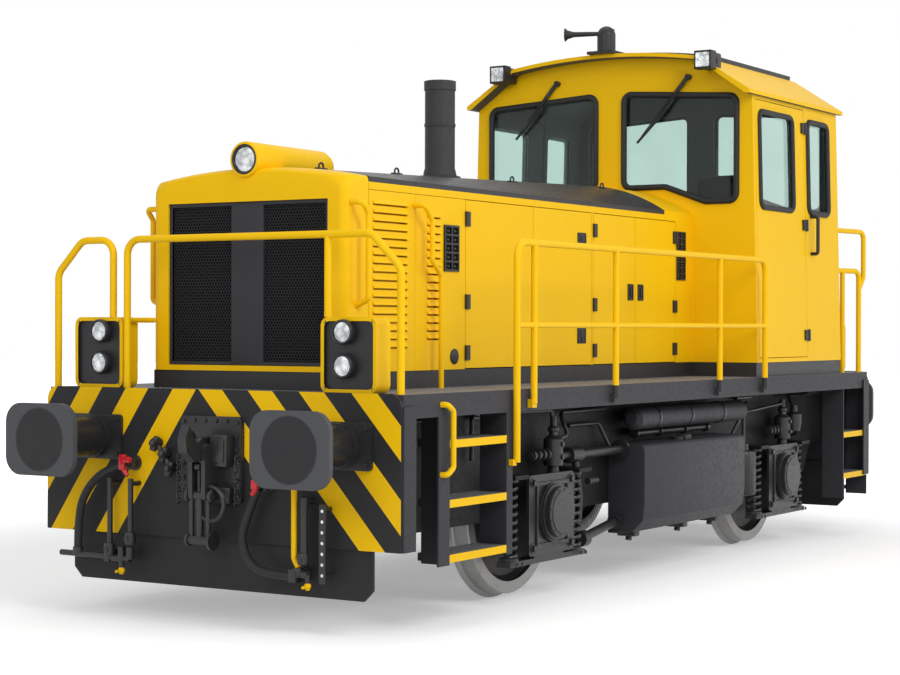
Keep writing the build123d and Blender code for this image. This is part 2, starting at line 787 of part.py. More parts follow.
def make_bonnet_doors():
    """Four leaves a side: a folding pair, then two leaves that meet."""
    inner_y = bonnet_half_width - leaf_thickness
    leaves = (
        # name, front x, rear x, hinge x, hinged on the inner face, strap end x
        ("folding_door_front", fixed_panel_rear_x, fold_seam_x, fixed_panel_rear_x, False,
         fixed_panel_rear_x - 45),
        ("folding_door_rear", fold_seam_x, middle_seam_x + middle_post_width / 2, fold_seam_x, True,
         fold_seam_x - 45),
        ("side_door_front", middle_seam_x - middle_post_width / 2, meeting_seam_x,
         middle_seam_x - middle_post_width / 2, False, middle_seam_x - middle_post_width / 2 - 45),
        ("side_door_rear", meeting_seam_x, rear_seam_x, rear_seam_x, False, rear_seam_x + 45),
    )
    for side, hand in ((1, "left"), (-1, "right")):
        for name, front_x, rear_x, hinge_x, inside, strap_end_x in leaves:
            with BuildPart() as leaf:
                block((rear_x + door_gap / 2, front_x - door_gap / 2),
                      (side * inner_y, side * bonnet_half_width), (door_bottom_z, door_top_z))
                if inside:
                    hinge(hinge_x, inner_y, -1, strap_end_x, side)
                else:
                    hinge(hinge_x, bonnet_half_width, 1, strap_end_x, side)
            save(leaf, f"{name}_{hand}")


def make_engine():
    """The engine and gearbox under the bonnet, as one plain block."""
    with BuildPart() as engine:
        block((-700, 2350), (-400, 400), (deck_top_z, 2330))
    save(engine, "engine_block")


def make_exhaust():
    """The upright exhaust pipe on its flange."""
    x = 1135
    base_z = bonnet_crown_z - 1
    with BuildPart() as exhaust:
        cylinder_z(150, (base_z + 1, base_z + 15), x, 0)
        cylinder_z(100, (base_z + 15, 3310), x, 0)
        cylinder_z(92, (base_z + 60, 3310), x, 0, Mode.SUBTRACT)
    save(exhaust, "exhaust_stack")


def make_top_lamp():
    """The long lamp housing on the nose of the bonnet."""
    lamp_z = 2665
    radius = 98
    with BuildPart() as housing:
        cylinder_x(radius, (2440, bonnet_front_x + 20), 0, lamp_z + 10)
        with BuildSketch(Plane.YZ.offset(2400)):
            add(bonnet_section(-seat_gap))
        extrude(amount=bonnet_front_x + seat_gap - 2400, mode=Mode.SUBTRACT)
    save(housing, "top_lamp")


# ================================================================ cab
def cab_half_width(z):
    """Half the cab's width outside its side walls at a height."""
    share = (z - cab_bottom_z) / (cab_eaves_z - cab_bottom_z)
    return cab_half_width_bottom + share * (cab_half_width_top - cab_half_width_bottom)


def side_panel(x_range, z_range, inset_range, side):
    """Add a stretch of the cab's leaning side wall, between two depths, to the open part."""
    low, high = z_range
    shallow, deep = inset_range
    with BuildSketch(Plane.YZ.offset(min(x_range))) as section:
        with BuildLine():
            Polyline(
                (side * (cab_half_width(low) - shallow), low),
                (side * (cab_half_width(high) - shallow), high),
                (side * (cab_half_width(high) - deep), high),
                (side * (cab_half_width(low) - deep), low),
                (side * (cab_half_width(low) - shallow), low),
            )
        make_face()
    extrude(section.sketch, amount=max(x_range) - min(x_range))


def window_prism(x_range, z_range, side, corner=window_corner_radius, grow=0, mode=Mode.SUBTRACT):
    """Cut a rounded window opening through one side wall of the open part."""
    middle = ((x_range[0] + x_range[1]) / 2, (z_range[0] + z_range[1]) / 2)
    width = abs(x_range[0] - x_range[1]) + 2 * grow
    height = abs(z_range[0] - z_range[1]) + 2 * grow
    with BuildSketch(Plane.XZ.offset(-side * (cab_half_width_bottom - 200))) as outline:
        with Locations(middle):
            RectangleRounded(width, height, corner + grow)
    extrude(outline.sketch, amount=-side * 400, mode=mode)


def end_window(side, grow=0):
    """Return one windscreen outline, larger all round by grow (Y across, Z up)."""
    with BuildSketch() as window:
        with BuildLine():
            Polyline(
                (side * pillar_half_width, front_window_top_z),
                (side * front_window_outer_y, front_window_top_z - front_window_top_fall),
                (side * front_window_outer_y, front_window_drop_z),
                (side * front_window_bend_outer_y, front_window_drop_z),
                (side * front_window_bend_inner_y, front_window_bottom_z),
                (side * pillar_half_width, front_window_bottom_z),
                (side * pillar_half_width, front_window_top_z),
            )
        make_face()
        fillet(window.vertices(), front_window_corner)
        if grow:
            offset(amount=grow, mode=Mode.REPLACE)
    return window.sketch


def roof_line(rise=0, spread=0):
    """Return the line over the roof, from eaves to eaves (Y across, Z up)."""
    eaves = (cab_half_width_top + spread, cab_eaves_z + rise)
    shoulder = (roof_shoulder_y, roof_shoulder_z + rise)
    with BuildLine() as line:
        Line(eaves, shoulder)
        ThreePointArc(shoulder, (0, roof_crown_z + rise), (-shoulder[0], shoulder[1]))
        Line((-shoulder[0], shoulder[1]), (-eaves[0], eaves[1]))
    return line.line


def make_cab():
    """The cab's four walls with their window and door openings."""
    with BuildPart() as cab:
        with BuildSketch(Plane.YZ.offset(cab_rear_x)):
            with BuildLine():
                add(roof_line())
                Polyline((-cab_half_width_top, cab_eaves_z), (-cab_half_width_bottom, cab_bottom_z),
                         (cab_half_width_bottom, cab_bottom_z), (cab_half_width_top, cab_eaves_z))
            make_face()
        extrude(amount=cab_front_x - cab_rear_x)
        with BuildSketch(Plane.YZ.offset(cab_rear_x + cab_wall)):
            with BuildLine():
                Polyline(
                    (-cab_half_width_top + cab_wall, cab_eaves_z),
                    (-cab_half_width_bottom + cab_wall, cab_bottom_z),
                    (cab_half_width_bottom - cab_wall, cab_bottom_z),
                    (cab_half_width_top - cab_wall, cab_eaves_z),
                    (cab_half_width_top - cab_wall, roof_crown_z + 50),
                    (-cab_half_width_top + cab_wall, roof_crown_z + 50),
                    (-cab_half_width_top + cab_wall, cab_eaves_z),
                )
            make_face()
        extrude(amount=cab_front_x - cab_rear_x - 2 * cab_wall, mode=Mode.SUBTRACT)
        for side in (-1, 1):
            window_prism((side_window_rear_x, side_window_front_x), (window_bottom_z, window_top_z),
                         side)
            window_prism((cab_door_rear_x - door_gap, cab_door_front_x + door_gap),
                         (cab_door_bottom_z - door_gap, cab_door_top_z + door_gap), side,
                         corner=20)
            with BuildSketch(Plane.YZ.offset(cab_rear_x - 10)):
                add(end_window(side))
            extrude(amount=cab_front_x - cab_rear_x + 20, mode=Mode.SUBTRACT)
    save(cab, "cab_shell")


def make_roof():
    """The cab roof with its front visor."""
    with BuildPart() as roof:
        with BuildSketch(Plane.YZ.offset(cab_rear_x - roof_rear_overhang)):
            with BuildLine():
                over = (cab_half_width_top + roof_side_overhang, cab_eaves_z + seat_gap + roof_thickness)
                under = (cab_half_width_top + roof_side_overhang, cab_eaves_z + seat_gap)
                seat = (cab_half_width_top, cab_eaves_z + seat_gap)
                add(roof_line(rise=roof_thickness + seat_gap, spread=roof_side_overhang))
                add(roof_line(rise=seat_gap))
                Polyline(over, under, seat)
                Polyline((-over[0], over[1]), (-under[0], under[1]), (-seat[0], seat[1]))
            make_face()
        extrude(amount=cab_front_x - cab_rear_x + roof_front_overhang + roof_rear_overhang)
    save(roof, "cab_roof")


def make_cab_floor():
    """The cab's floor, on its plinth."""
    with BuildPart() as floor:
        block((cab_rear_x + 5, cab_front_x), (-cab_half_width_bottom + 8, cab_half_width_bottom - 8),
              (deck_top_z, cab_bottom_z))
    save(floor, "cab_floor")


def make_cab_doors():
    """The cab's two doors, each with its window pane."""
    pane_inset = (cab_wall - glass_thickness) / 2
    for side, hand in ((1, "left"), (-1, "right")):
        with BuildPart() as door:
            side_panel((cab_door_rear_x, cab_door_front_x), (cab_door_bottom_z, cab_door_top_z),
                       (0, cab_wall - 8), side)
            fillet(door.edges().filter_by(Axis.Y), 16)
            for z in cab_hinge_z:
                low, high = z - hinge_length / 2, z + hinge_length / 2
                offset_y = cab_hinge_radius + seat_gap
                tube([(cab_hinge_x, side * (cab_half_width(low) + offset_y), low),
                      (cab_hinge_x, side * (cab_half_width(high) + offset_y), high)],
                     radius=cab_hinge_radius)
                side_panel((cab_hinge_x, cab_door_rear_x + 60), (low + 5, high - 5),
                           (-offset_y - 2, -seat_gap), side)
                side_panel((cab_door_rear_x + 1, cab_door_rear_x + 56), (low + 8, high - 8),
                           (-offset_y + 2, 2), side)
            window_prism((door_window_rear_x, door_window_front_x), (window_bottom_z, window_top_z),
                         side)
        save(door, f"cab_door_{hand}")
        with BuildPart() as pane:
            side_panel((cab_door_rear_x, cab_door_front_x), (cab_door_bottom_z, cab_door_top_z),
                       (pane_inset, pane_inset + glass_thickness), side)
            window_prism((door_window_rear_x, door_window_front_x), (window_bottom_z, window_top_z),
                         side, grow=-seat_gap, mode=Mode.INTERSECT)
        save(pane, f"door_glass_{hand}")


def make_cab_glass():
    """The cab's fixed panes: two in each end wall and one in each side wall."""
    pane_inset = (cab_wall - glass_thickness) / 2
    with BuildPart() as glass:
        for side in (-1, 1):
            side_panel((side_window_rear_x - 20, side_window_front_x + 20),
                       (window_bottom_z - 20, window_top_z + 20),
                       (pane_inset, pane_inset + glass_thickness), side)
        with BuildSketch(Plane.XZ):
            with Locations(((side_window_front_x + side_window_rear_x) / 2,
                            (window_bottom_z + window_top_z) / 2)):
                RectangleRounded(side_window_front_x - side_window_rear_x - 2 * seat_gap,
                                 window_top_z - window_bottom_z - 2 * seat_gap,
                                 window_corner_radius - seat_gap)
        extrude(amount=cab_half_width_bottom + 10, both=True, mode=Mode.INTERSECT)
        for wall_x in (cab_rear_x + pane_inset, cab_front_x - pane_inset - glass_thickness):
            for side in (-1, 1):
                with BuildSketch(Plane.YZ.offset(wall_x)):
                    add(end_window(side, grow=-seat_gap))
                extrude(amount=glass_thickness)
    save(glass, "cab_windows")


def make_cab_inside():
    """The driver's seat and the control desk."""
    with BuildPart() as seat:
        cylinder_z(50, (cab_bottom_z, 1830), -2250, 420)
        block((-2480, -2020), (190, 650), (1830, 1930))
        block((-2520, -2440), (200, 640), (1930, 2560))
    save(seat, "driver_seat")
    with BuildPart() as desk:
        block((-1700, cab_front_x - cab_wall), (-650, 500), (cab_bottom_z, 2280))
    save(desk, "control_desk")


# ================================================================ lamps and fittings
def make_headlight_boxes():
    """A pair of twin-lamp boxes on the deck at each end."""
    middle = ((lamp_box_inner_y + lamp_box_outer_y) / 2, (deck_top_z + lamp_box_top_z) / 2)
    width = lamp_box_outer_y - lamp_box_inner_y
    height = lamp_box_top_z - deck_top_z
    with BuildPart() as boxes:
        with BuildSketch(Plane.YZ.offset(lamp_box_face_x - lamp_box_depth)):
            with Locations(middle):
                RectangleRounded(width, height, 48)
        extrude(amount=lamp_box_depth)
        with BuildSketch(Plane.YZ.offset(lamp_box_face_x)):
            with Locations(middle):
                RectangleRounded(width - 44, height - 44, 36)
        extrude(amount=-18, mode=Mode.SUBTRACT)
        for z in (1473, 1657):
            cylinder_x(66, (lamp_box_face_x - 30, lamp_box_face_x + 22), 868, z)
        both_sides()
        both_ends()
    save(boxes, "headlight_boxes")


def make_roof_lamps():
    """Two square lamps under the visor's corners and the horn on the roof."""
    visor_x = cab_front_x + roof_front_overhang
    with BuildPart() as lamps:
        block((visor_x, visor_x + 90), (805, 940), (3585, 3720))
        both_sides()
    save(lamps, "roof_lamps")
    with BuildPart() as horn:
        with BuildSketch(Plane.XZ) as profile:
            with BuildLine():
                Polyline((-60, 0), (320, 0), (320, 52), (300, 34), (250, 20), (40, 16), (35, 34),
                         (-60, 34), (-60, 0))
            make_face()
        revolve(axis=Axis.X)
    trumpet = horn.part.rotate(Axis.Z, -72)
    roof_top_z = roof_crown_z + seat_gap + roof_thickness
    with BuildPart() as horns:
        with Locations((horn_x, 0, roof_top_z + 165)):
            add(trumpet)
        cylinder_z(horn_body_radius, (roof_top_z + 10, roof_top_z + 150), horn_x, 0)
        with Locations((horn_x, 0, roof_top_z + 150)):
            Sphere(horn_body_radius)
        with Locations((horn_x, 0, roof_top_z + 11)):
            Box(220, 220, 21.4)
    save(horns, "horn")


# ================================================================ handrails
def make_side_rails():
    """A two-bar rail on posts along each walkway."""
    for side, hand in ((1, "left"), (-1, "right")):
        y = side * side_rail_y
        with BuildPart() as rail:
            tube([(side_post_x[-1], y, rail_foot_z), (side_post_x[-1], y, side_rail_top_z),
                  (side_rail_front_x, y, side_rail_top_z), (side_rail_front_x, y, side_rail_foot_z)])
            tube([(side_post_x[-1], y, side_rail_middle_z),
                  (side_rail_front_x, y, side_rail_middle_z)], radius=middle_bar_radius)
            for x in side_post_x[:-1]:
                tube([(x, y, rail_foot_z), (x, y, side_rail_top_z)], radius=post_radius)
            for x in side_post_x:
                block((x - 25, x + 25), (side * deck_half_width, side * (side_rail_y + 5)),
                      (rail_foot_z - 25, rail_foot_z + 25))
            block((side_rail_front_x + 2, side_rail_front_x + 42),
                  (side * deck_half_width, side * side_rail_y),
                  (side_rail_foot_z - 18, side_rail_foot_z + 18))
        save(rail, f"side_handrail_{hand}")


def make_end_rails():
    """The rails over the front corners and beside the rear platform."""
    x = end_rail_x
    top = end_rail_top_z
    with BuildPart() as front:
        tube([(x, -end_rail_y, deck_top_z), (x, -end_rail_y, top - 190),
              (x, -end_rail_y + 190, top), (x, -end_rail_y + 430, top),
              (x, -end_rail_y + 430, lamp_box_top_z)])
        tube([(x, -end_post_y, deck_top_z), (x, -end_post_y, top), (x, end_rail_y - 190, top),
              (x, end_rail_y, top - 190), (x, end_rail_y, deck_top_z)])
        tube([(x, end_post_y + 60, lamp_box_top_z), (x, end_post_y + 60, top)],
             radius=post_radius)
        tube([(x, -end_post_y, tie_bar_z), (bonnet_front_x - 4, -end_post_y, tie_bar_z)], radius=15)
    save(front, "front_handrail")
    outer_y = rear_rail_y
    wall_y = rear_rail_y - 90
    corner_x = rear_rail_end_x + 105
    with BuildPart() as rear:
        for side in (-1, 1):
            tube([(cab_rear_x + 20, side * wall_y, 2475), (rear_rail_end_x, side * outer_y, 2475),
                  (rear_rail_end_x, side * outer_y, 2100), (corner_x, side * outer_y, 2000)],
                 radius=post_radius, bend=60)
            tube([(cab_rear_x + 20, side * wall_y, 2150), (corner_x, side * outer_y, 2150),
                  (corner_x, side * outer_y, deck_top_z)], bend=60)
            post = (cab_rear_x - 150, side * (wall_y + 32))
            tube([(*post, deck_top_z), (*post, 2150)], radius=post_radius)
        block((cab_rear_x - seat_gap, cab_rear_x + 60), (-outer_y, outer_y), (2000, 2600),
              Mode.SUBTRACT)
    save(rear, "rear_handrails")


def make_grab_rails():
    """The grab rails on the bonnet's sides and the handles beside the front steps."""
    stand_y = bonnet_half_width + 80
    face_y = bonnet_half_width + seat_gap
    with BuildPart() as rails:
        tube([(3170, face_y - 10, 2382), (3170, stand_y, 2382), (3115, stand_y, 2320),
              (3115, stand_y, 1840), (3115, face_y - 10, 1800)], radius=16, bend=30)
        tube([(2530, face_y - 10, 2396), (2530, stand_y, 2396), (2450, stand_y, 2310),
              (2450, stand_y, 2075), (2350, stand_y, 1990), (2350, stand_y, deck_top_z)],
             radius=16, bend=30)
        block((2300, 3200), (face_y - 60, face_y), (1750, 2450), Mode.SUBTRACT)
        tube([(3108, deck_half_width - 20, 1262), (3095, grab_handle_y, 1262),
              (3036, grab_handle_y, 1225), (3036, grab_handle_y, 915),
              (3095, grab_handle_y, 878), (3108, deck_half_width - 20, 878)], radius=16, bend=25)
        block((3000, 3200), (deck_half_width - 60, deck_half_width + seat_gap), (800, 1300),
              Mode.SUBTRACT)
        both_sides()
    save(rails, "grab_rails")


# ================================================================ brake pipes and hoses
def hose_route(name):
    """Return one hose's points, at the front end, from its cock to where it is held."""
    routes = {
        # across (Y), up (Z), all in one plane ahead of the headstock
        "right": ((-600.2, 892.6), (-740, 852), (-868, 748), (-940, 600), (-940, 400)),
        "left": ((372.4, 794.9), (312, 668), (252, 510), (322, 365), (462, 330), (600, 330)),
    }
    return [Vector(hose_x, y, z) for y, z in routes[name]]


def make_hoses():
    """Two brake hoses at each end, straight runs joined by tangent arcs."""
    for end, place in ((1, "front"), (-1, "rear")):
        for hand in ("left", "right"):
            points = hose_route(hand)
            runs = [after - before for before, after in zip(points, points[1:])]
            radii = []
            for before, after in zip(runs, runs[1:]):
                half_turn = before.get_angle(after) / 2
                radii.append(0.45 * min(before.length, after.length) / tan(radians(half_turn)))
            with BuildPart() as hose:
                with BuildLine() as route:
                    FilletPolyline(*points, radius=radii)
                path = route.line
                with BuildSketch(Plane(origin=path @ 0, z_dir=path % 0)):
                    Circle(hose_radius)
                sweep(path=path)
                if end < 0:
                    add(hose.part.rotate(Axis.Z, 180), mode=Mode.REPLACE)
            length = sum(edge.length for edge in path.edges())
            shape = hose.part.volume / (length * pi * hose_radius ** 2)
            print(f"{place} {hand} hose: length {length:.0f}, radii {[round(r) for r in radii]}, "
                  f"volume ratio {shape:.4f}")
            save(hose, f"brake_hose_{place}_{hand}")


def make_brake_fittings():
    """The pipes, cocks and hose holders on the headstocks."""
    with BuildPart() as fittings:
        cylinder_x(hose_cock_radius, (headstock_x, hose_x + 30), -575, 900)
        cylinder_x(hose_cock_radius, (headstock_x, hose_x + 30), 385, 818)
        cylinder_y(17, (-1071, -707), hose_x, 360)
        cylinder_z(hose_radius + 7, (360, 400 - seat_gap), hose_x, -940)
        block((headstock_x - plate_thickness, hose_x + 20), (-725, -688), (330, 390))
        block((headstock_x - plate_thickness, hose_x + hose_radius + 5), (600 + seat_gap, 650), (300, 370))
        for y, z_range in ((-700, (360, 812)), (-545, (432, 812))):
            cylinder_z(16, z_range, hose_x - 5, y)
            cylinder_x(14, (headstock_x, hose_x - 9), y, z_range[1] - 30)
        cylinder_z(20, (420, 760), hose_x - 10, 680)
        cylinder_x(20, (headstock_x, hose_x - 10), 680, 740)
        block((hose_x - 20, hose_x - 8), (780, 822), (300, 727))
        cylinder_x(14, (headstock_x, hose_x - 20), 801, 700)
        cylinder_x(14, (headstock_x - plate_thickness, hose_x - 20), 801, 360)
        add(fittings.part.rotate(Axis.Z, 180))
    save(fittings, "brake_fittings")


os.makedirs("parts", exist_ok=True)
make_underframe()
make_deck()
make_headstock(1, "front_headstock")
make_headstock(-1, "rear_headstock")
make_deflectors()
make_buffers()
make_draw_gear()
make_wheelset(front_axle_x, "front")
make_wheelset(rear_axle_x, "rear")
make_axleboxes()
make_springs()
make_brake_rigging()
make_tanks()
make_steps()
make_plinth()
make_cowl()
make_grille()
make_bonnet_shell()
make_side_panels()
make_top_panels()
make_bonnet_doors()
make_engine()
make_exhaust()
make_top_lamp()
make_cab()
make_roof()
make_cab_floor()
make_cab_doors()
make_cab_glass()
make_cab_inside()
make_headlight_boxes()
make_roof_lamps()
make_side_rails()
make_end_rails()
make_grab_rails()
make_hoses()
make_brake_fittings()
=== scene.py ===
"""Looks for the two-axle diesel shunting locomotive: paint, trim, hoses, floor, light, camera.

Sizes in the tables are millimetres in the part's own frame: +X is the bonnet end, +Y the left
side and +Z up. at() turns them into metres.
"""

import math

import bmesh
import bpy
from mathutils import Matrix, Vector


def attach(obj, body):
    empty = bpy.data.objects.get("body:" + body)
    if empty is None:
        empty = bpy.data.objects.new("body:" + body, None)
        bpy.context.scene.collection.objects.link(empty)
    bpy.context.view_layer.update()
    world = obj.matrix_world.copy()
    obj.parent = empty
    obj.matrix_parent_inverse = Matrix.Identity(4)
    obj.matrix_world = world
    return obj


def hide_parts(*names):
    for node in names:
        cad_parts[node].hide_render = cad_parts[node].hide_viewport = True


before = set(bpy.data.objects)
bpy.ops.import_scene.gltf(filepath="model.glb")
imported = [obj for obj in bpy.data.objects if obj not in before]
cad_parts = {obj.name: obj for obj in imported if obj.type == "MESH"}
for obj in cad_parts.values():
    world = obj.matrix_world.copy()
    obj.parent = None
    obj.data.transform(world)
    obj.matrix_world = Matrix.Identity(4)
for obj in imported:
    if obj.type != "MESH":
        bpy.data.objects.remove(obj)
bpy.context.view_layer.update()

ALONG, ACROSS, UP = (1, 0, 0), (0, 1, 0), (0, 0, 1)
HEADSTOCK_X = 3507
HOSE_X = HEADSTOCK_X + 83
BUFFER_Y = 875
BUFFER_Z = 1044
BONNET_Y = 700
CROWN_FOOT = 2537
CROWN_RISE = 203
CROWN_REAR, CROWN_NOSE = -811, 3220
NOSE_DROP = 140
NOSE_LAMP_Z = 2645
END_LAMP_Y, END_LAMPS_Z = 868, (1473, 1657)
ROOF_LAMP_Y = 872.5
EXHAUST_X = 1135
AXLES_X = (1585, -2085)
AXLE_Z = 555
FRONT_STEPS_Z, REAR_STEPS_Z = (1064, 735, 432), (850, 520)
HANDS = ((1, "left"), (-1, "right"))
ENDS = ((1, "front"), (-1, "rear"))
LEAVES = ("folding_door_front", "folding_door_rear", "side_door_front", "side_door_rear")
HALF_TURN = Matrix.Rotation(math.pi, 4, "Z")
OTHER_SIDE = Matrix.Scale(-1, 4, ACROSS)
OTHER_END = Matrix.Scale(-1, 4, ALONG)


def at(x, y, z):
    """A place given in millimetres, in metres."""
    return Vector((x, y, z)) / 1000


# ---- node helpers ----
class Nodes:
    """Short names for adding and linking the nodes of one tree."""

    def __init__(self, tree):
        self.tree = tree

    def put(self, source, socket):
        """Link a socket to another, or set a plain value on it."""
        if hasattr(source, "links"):
            self.tree.links.new(source, socket)
        else:
            socket.default_value = source

    def feed(self, node, inputs):
        """Set or link a node's inputs, each given by its name or number."""
        for name, source in inputs.items():
            self.put(source, node.inputs[name])

    def add(self, kind, inputs=None, **settings):
        node = self.tree.nodes.new(kind)
        for name, value in settings.items():
            setattr(node, name, value)
        self.feed(node, inputs or {})
        return node

    def math(self, operation, *values):
        return self.add("ShaderNodeMath", dict(enumerate(values)), operation=operation).outputs[0]

    def times(self, a, b):
        return self.math("MULTIPLY", a, b)

    def plus(self, a, b):
        return self.math("ADD", a, b)

    def less(self, a, b):
        """The first with the second taken off it."""
        return self.math("SUBTRACT", a, b)

    def above(self, a, b):
        """1 where the first is the greater."""
        return self.math("GREATER_THAN", a, b)

    def size(self, a):
        """A value without its sign."""
        return self.math("ABSOLUTE", a)

    def reach(self, a, b):
        """The length of the line whose two parts are given."""
        return self.math("SQRT", self.plus(self.times(a, a), self.times(b, b)))

    def ramp(self, value, low, high, out_low=0.0, out_high=1.0):
        """A smooth change between two levels of a value."""
        numbers = dict(enumerate((value, low, high, out_low, out_high)))
        return self.add("ShaderNodeMapRange", numbers, interpolation_type="SMOOTHSTEP").outputs[0]

    def coordinates(self):
        return self.add("ShaderNodeTexCoord").outputs["Object"]

    def place(self):
        """The object coordinates as three sockets."""
        return self.add("ShaderNodeSeparateXYZ", {0: self.coordinates()}).outputs

    def noise(self, scale, detail=4.0, roughness=0.55, stretch=None):
        place = self.coordinates()
        if stretch:
            place = self.add("ShaderNodeMapping", {"Vector": place, "Scale": stretch}).outputs[0]
        return self.add("ShaderNodeTexNoise", {"Vector": place, "Scale": scale, "Detail": detail,
                                               "Roughness": roughness}).outputs[0]

    def mix(self, factor, a, b):
        """Two colours mixed, each a socket or three numbers."""
        a, b = (colour if hasattr(colour, "links") else (*colour, 1.0) for colour in (a, b))
        return self.add("ShaderNodeMix", {0: factor, 6: a, 7: b}, data_type="RGBA").outputs[2]

    def group(self, tree):
        return self.add("ShaderNodeGroup", node_tree=tree).outputs


def make_group(name, outputs, build):
    """A shader node group whose outputs are the sockets that build() returns."""
    tree = bpy.data.node_groups.new(name, "ShaderNodeTree")
    for output in outputs:
        tree.interface.new_socket(output, in_out="OUTPUT", socket_type="NodeSocketFloat")
    nodes = Nodes(tree)
    nodes.feed(nodes.add("NodeGroupOutput"), dict(enumerate(build(nodes))))
    return tree


def build_wear(nodes):
    """Dust that gathers low down, fine scuffs, and the slight waviness of painted plate."""
    low = nodes.ramp(nodes.place()[2], 1.5, 0.3, 0.25, 1.0)
    patches = nodes.ramp(nodes.noise(2.3, 7, 0.62), 0.44, 0.72)
    streaks = nodes.ramp(nodes.noise(5, 4, 0.6, (1, 1, 0.12)), 0.5, 0.78)
    dust = nodes.times(nodes.math("MAXIMUM", patches, streaks), low)
    scuff = nodes.ramp(nodes.noise(38, 5, 0.65), 0.42, 0.7)
    return dust, scuff, nodes.noise(6, 2, 0.4)


# The headstock's bands, in metres. Each slope is a run for a metre of depth, and where it starts.
CHEVRON_PITCH = 0.35
CHEVRON_TOP = 1.29
CHEVRON_MIDDLE = -0.122
LEFT_SLOPE, RIGHT_SLOPE = (0.89, 0.008), (0.685, 0.243)
PLATE_X, FACE_X = 3.49, 3.5055


def build_chevron(nodes):
    """1 on the black bands, which slope down from the middle, steeper on the right half.

    The second output is 1 on the plate's face, and the third where two bands run on below it.
    """
    x, y, z = nodes.place()
    from_middle = nodes.size(x)
    y = nodes.times(y, nodes.math("SIGN", x))
    depth = nodes.less(CHEVRON_TOP, z)
    left = nodes.less(y, nodes.math("MULTIPLY_ADD", depth, *LEFT_SLOPE))
    right = nodes.less(nodes.times(y, -1), nodes.math("MULTIPLY_ADD", depth, *RIGHT_SLOPE))
    on_left = nodes.above(y, CHEVRON_MIDDLE)
    on_right = nodes.less(1, on_left)
    run = nodes.plus(nodes.times(on_left, left), nodes.times(on_right, right))
    turns = nodes.math("DIVIDE", run, CHEVRON_PITCH)
    band = nodes.math("FRACT", nodes.plus(turns, 10.5))
    yellow = nodes.ramp(nodes.size(nodes.less(band, 0.5)), 0.244, 0.238)
    past_hook = nodes.math("MAXIMUM", nodes.above(turns, 0.5), nodes.above(z, 0.9))
    past_hook = nodes.math("MAXIMUM", past_hook, on_right)
    yellow = nodes.times(yellow, nodes.times(nodes.above(turns, -0.5), past_hook))
    low = nodes.times(nodes.math("LESS_THAN", y, -0.5), nodes.above(z, 0.345))
    return (nodes.less(1, yellow), nodes.above(from_middle, FACE_X),
            nodes.times(nodes.above(from_middle, PLATE_X), low))


def build_tread(nodes):
    """Raised lozenges of chequered plate, laid in turn along and across."""
    x, y, _ = nodes.place()
    cell = 0.028 * 1.414
    u, v = (nodes.math("DIVIDE", way, cell) for way in (nodes.plus(x, y), nodes.less(x, y)))
    across, along = (nodes.less(nodes.math("FRACT", way), 0.5) for way in (u, v))
    count = nodes.plus(nodes.math("FLOOR", u), nodes.math("FLOOR", v))
    turned = nodes.size(nodes.math("MODULO", count, 2))
    short, long = (nodes.add("ShaderNodeMix", {0: turned, 2: a, 3: b}, data_type="FLOAT")
                   for a, b in ((across, along), (along, across)))
    radius = nodes.reach(nodes.times(short.outputs[0], 3.4), nodes.times(long.outputs[0], 1.15))
    return (nodes.ramp(radius, 0.55, 0.4),)


def build_grease(nodes):
    """1 on the greased disc in the middle of a buffer head."""
    x, y, z = nodes.place()
    across = nodes.less(nodes.size(y), BUFFER_Y / 1000)
    radius = nodes.reach(across, nodes.less(z, BUFFER_Z / 1000))
    ragged = nodes.plus(radius, nodes.times(nodes.noise(60, 3), 0.012))
    on_face = nodes.above(nodes.size(x), 3.97)
    return (nodes.times(nodes.ramp(ragged, 0.192, 0.178), on_face),)


WEAR = make_group("wear", ("Dust", "Scuff", "Waves"), build_wear)
CHEVRON = make_group("chevron bands", ("Black", "Face", "Low"), build_chevron)
TREAD = make_group("tread plate", ("Raised",), build_tread)
GREASE = make_group("greased disc", ("Greased",), build_grease)


# ---- materials ----
def grey(level):
    return (level, level, level)


def new_material(name):
    """A material, the helper for its nodes, and its shader."""
    material = bpy.data.materials.new(name)
    material.use_nodes = True
    return material, Nodes(material.node_tree), material.node_tree.nodes["Principled BSDF"]


def paint(name, colour, roughness=0.42, dust=0.25, dust_colour=(0.16, 0.14, 0.12), metallic=0.0,
          coat=0.0, waves=0.12, pattern=None, gloss=0.3):
    """A painted, cast or moulded surface with dust and scuffs; pattern() may recolour it."""
    material, nodes, shader = new_material(name)
    wear = nodes.group(WEAR)
    base, height = colour, nodes.times(wear["Waves"], waves)
    if pattern:
        base, height = pattern(nodes, colour, height)
    bump = nodes.add("ShaderNodeBump", {"Strength": 0.35, "Distance": 0.004, "Height": height})
    nodes.feed(shader, {
        "Base Color": nodes.mix(nodes.times(wear["Dust"], dust), base, dust_colour),
        "Roughness": nodes.math("MULTIPLY_ADD", wear["Scuff"], 0.16, roughness),
        "Normal": bump.outputs[0],
        "Metallic": metallic,
        "Specular IOR Level": gloss,
        "Coat Weight": coat,
        "Coat Roughness": 0.12,
    })
    return material


def striped(nodes, colour, height):
    """Black and yellow bands on the plate's face, grey on its folded returns."""
    bands = nodes.group(CHEVRON)
    face = nodes.mix(bands["Black"], colour, BLACK)
    return nodes.mix(bands["Face"], FRAME_GREY, face), height


def part_striped(nodes, colour, height):
    """The two bands that run on from the headstock on to the plate below it."""
    bands = nodes.group(CHEVRON)
    yellow = nodes.times(bands["Low"], nodes.less(1, bands["Black"]))
    return nodes.mix(yellow, colour, YELLOW_RGB), height


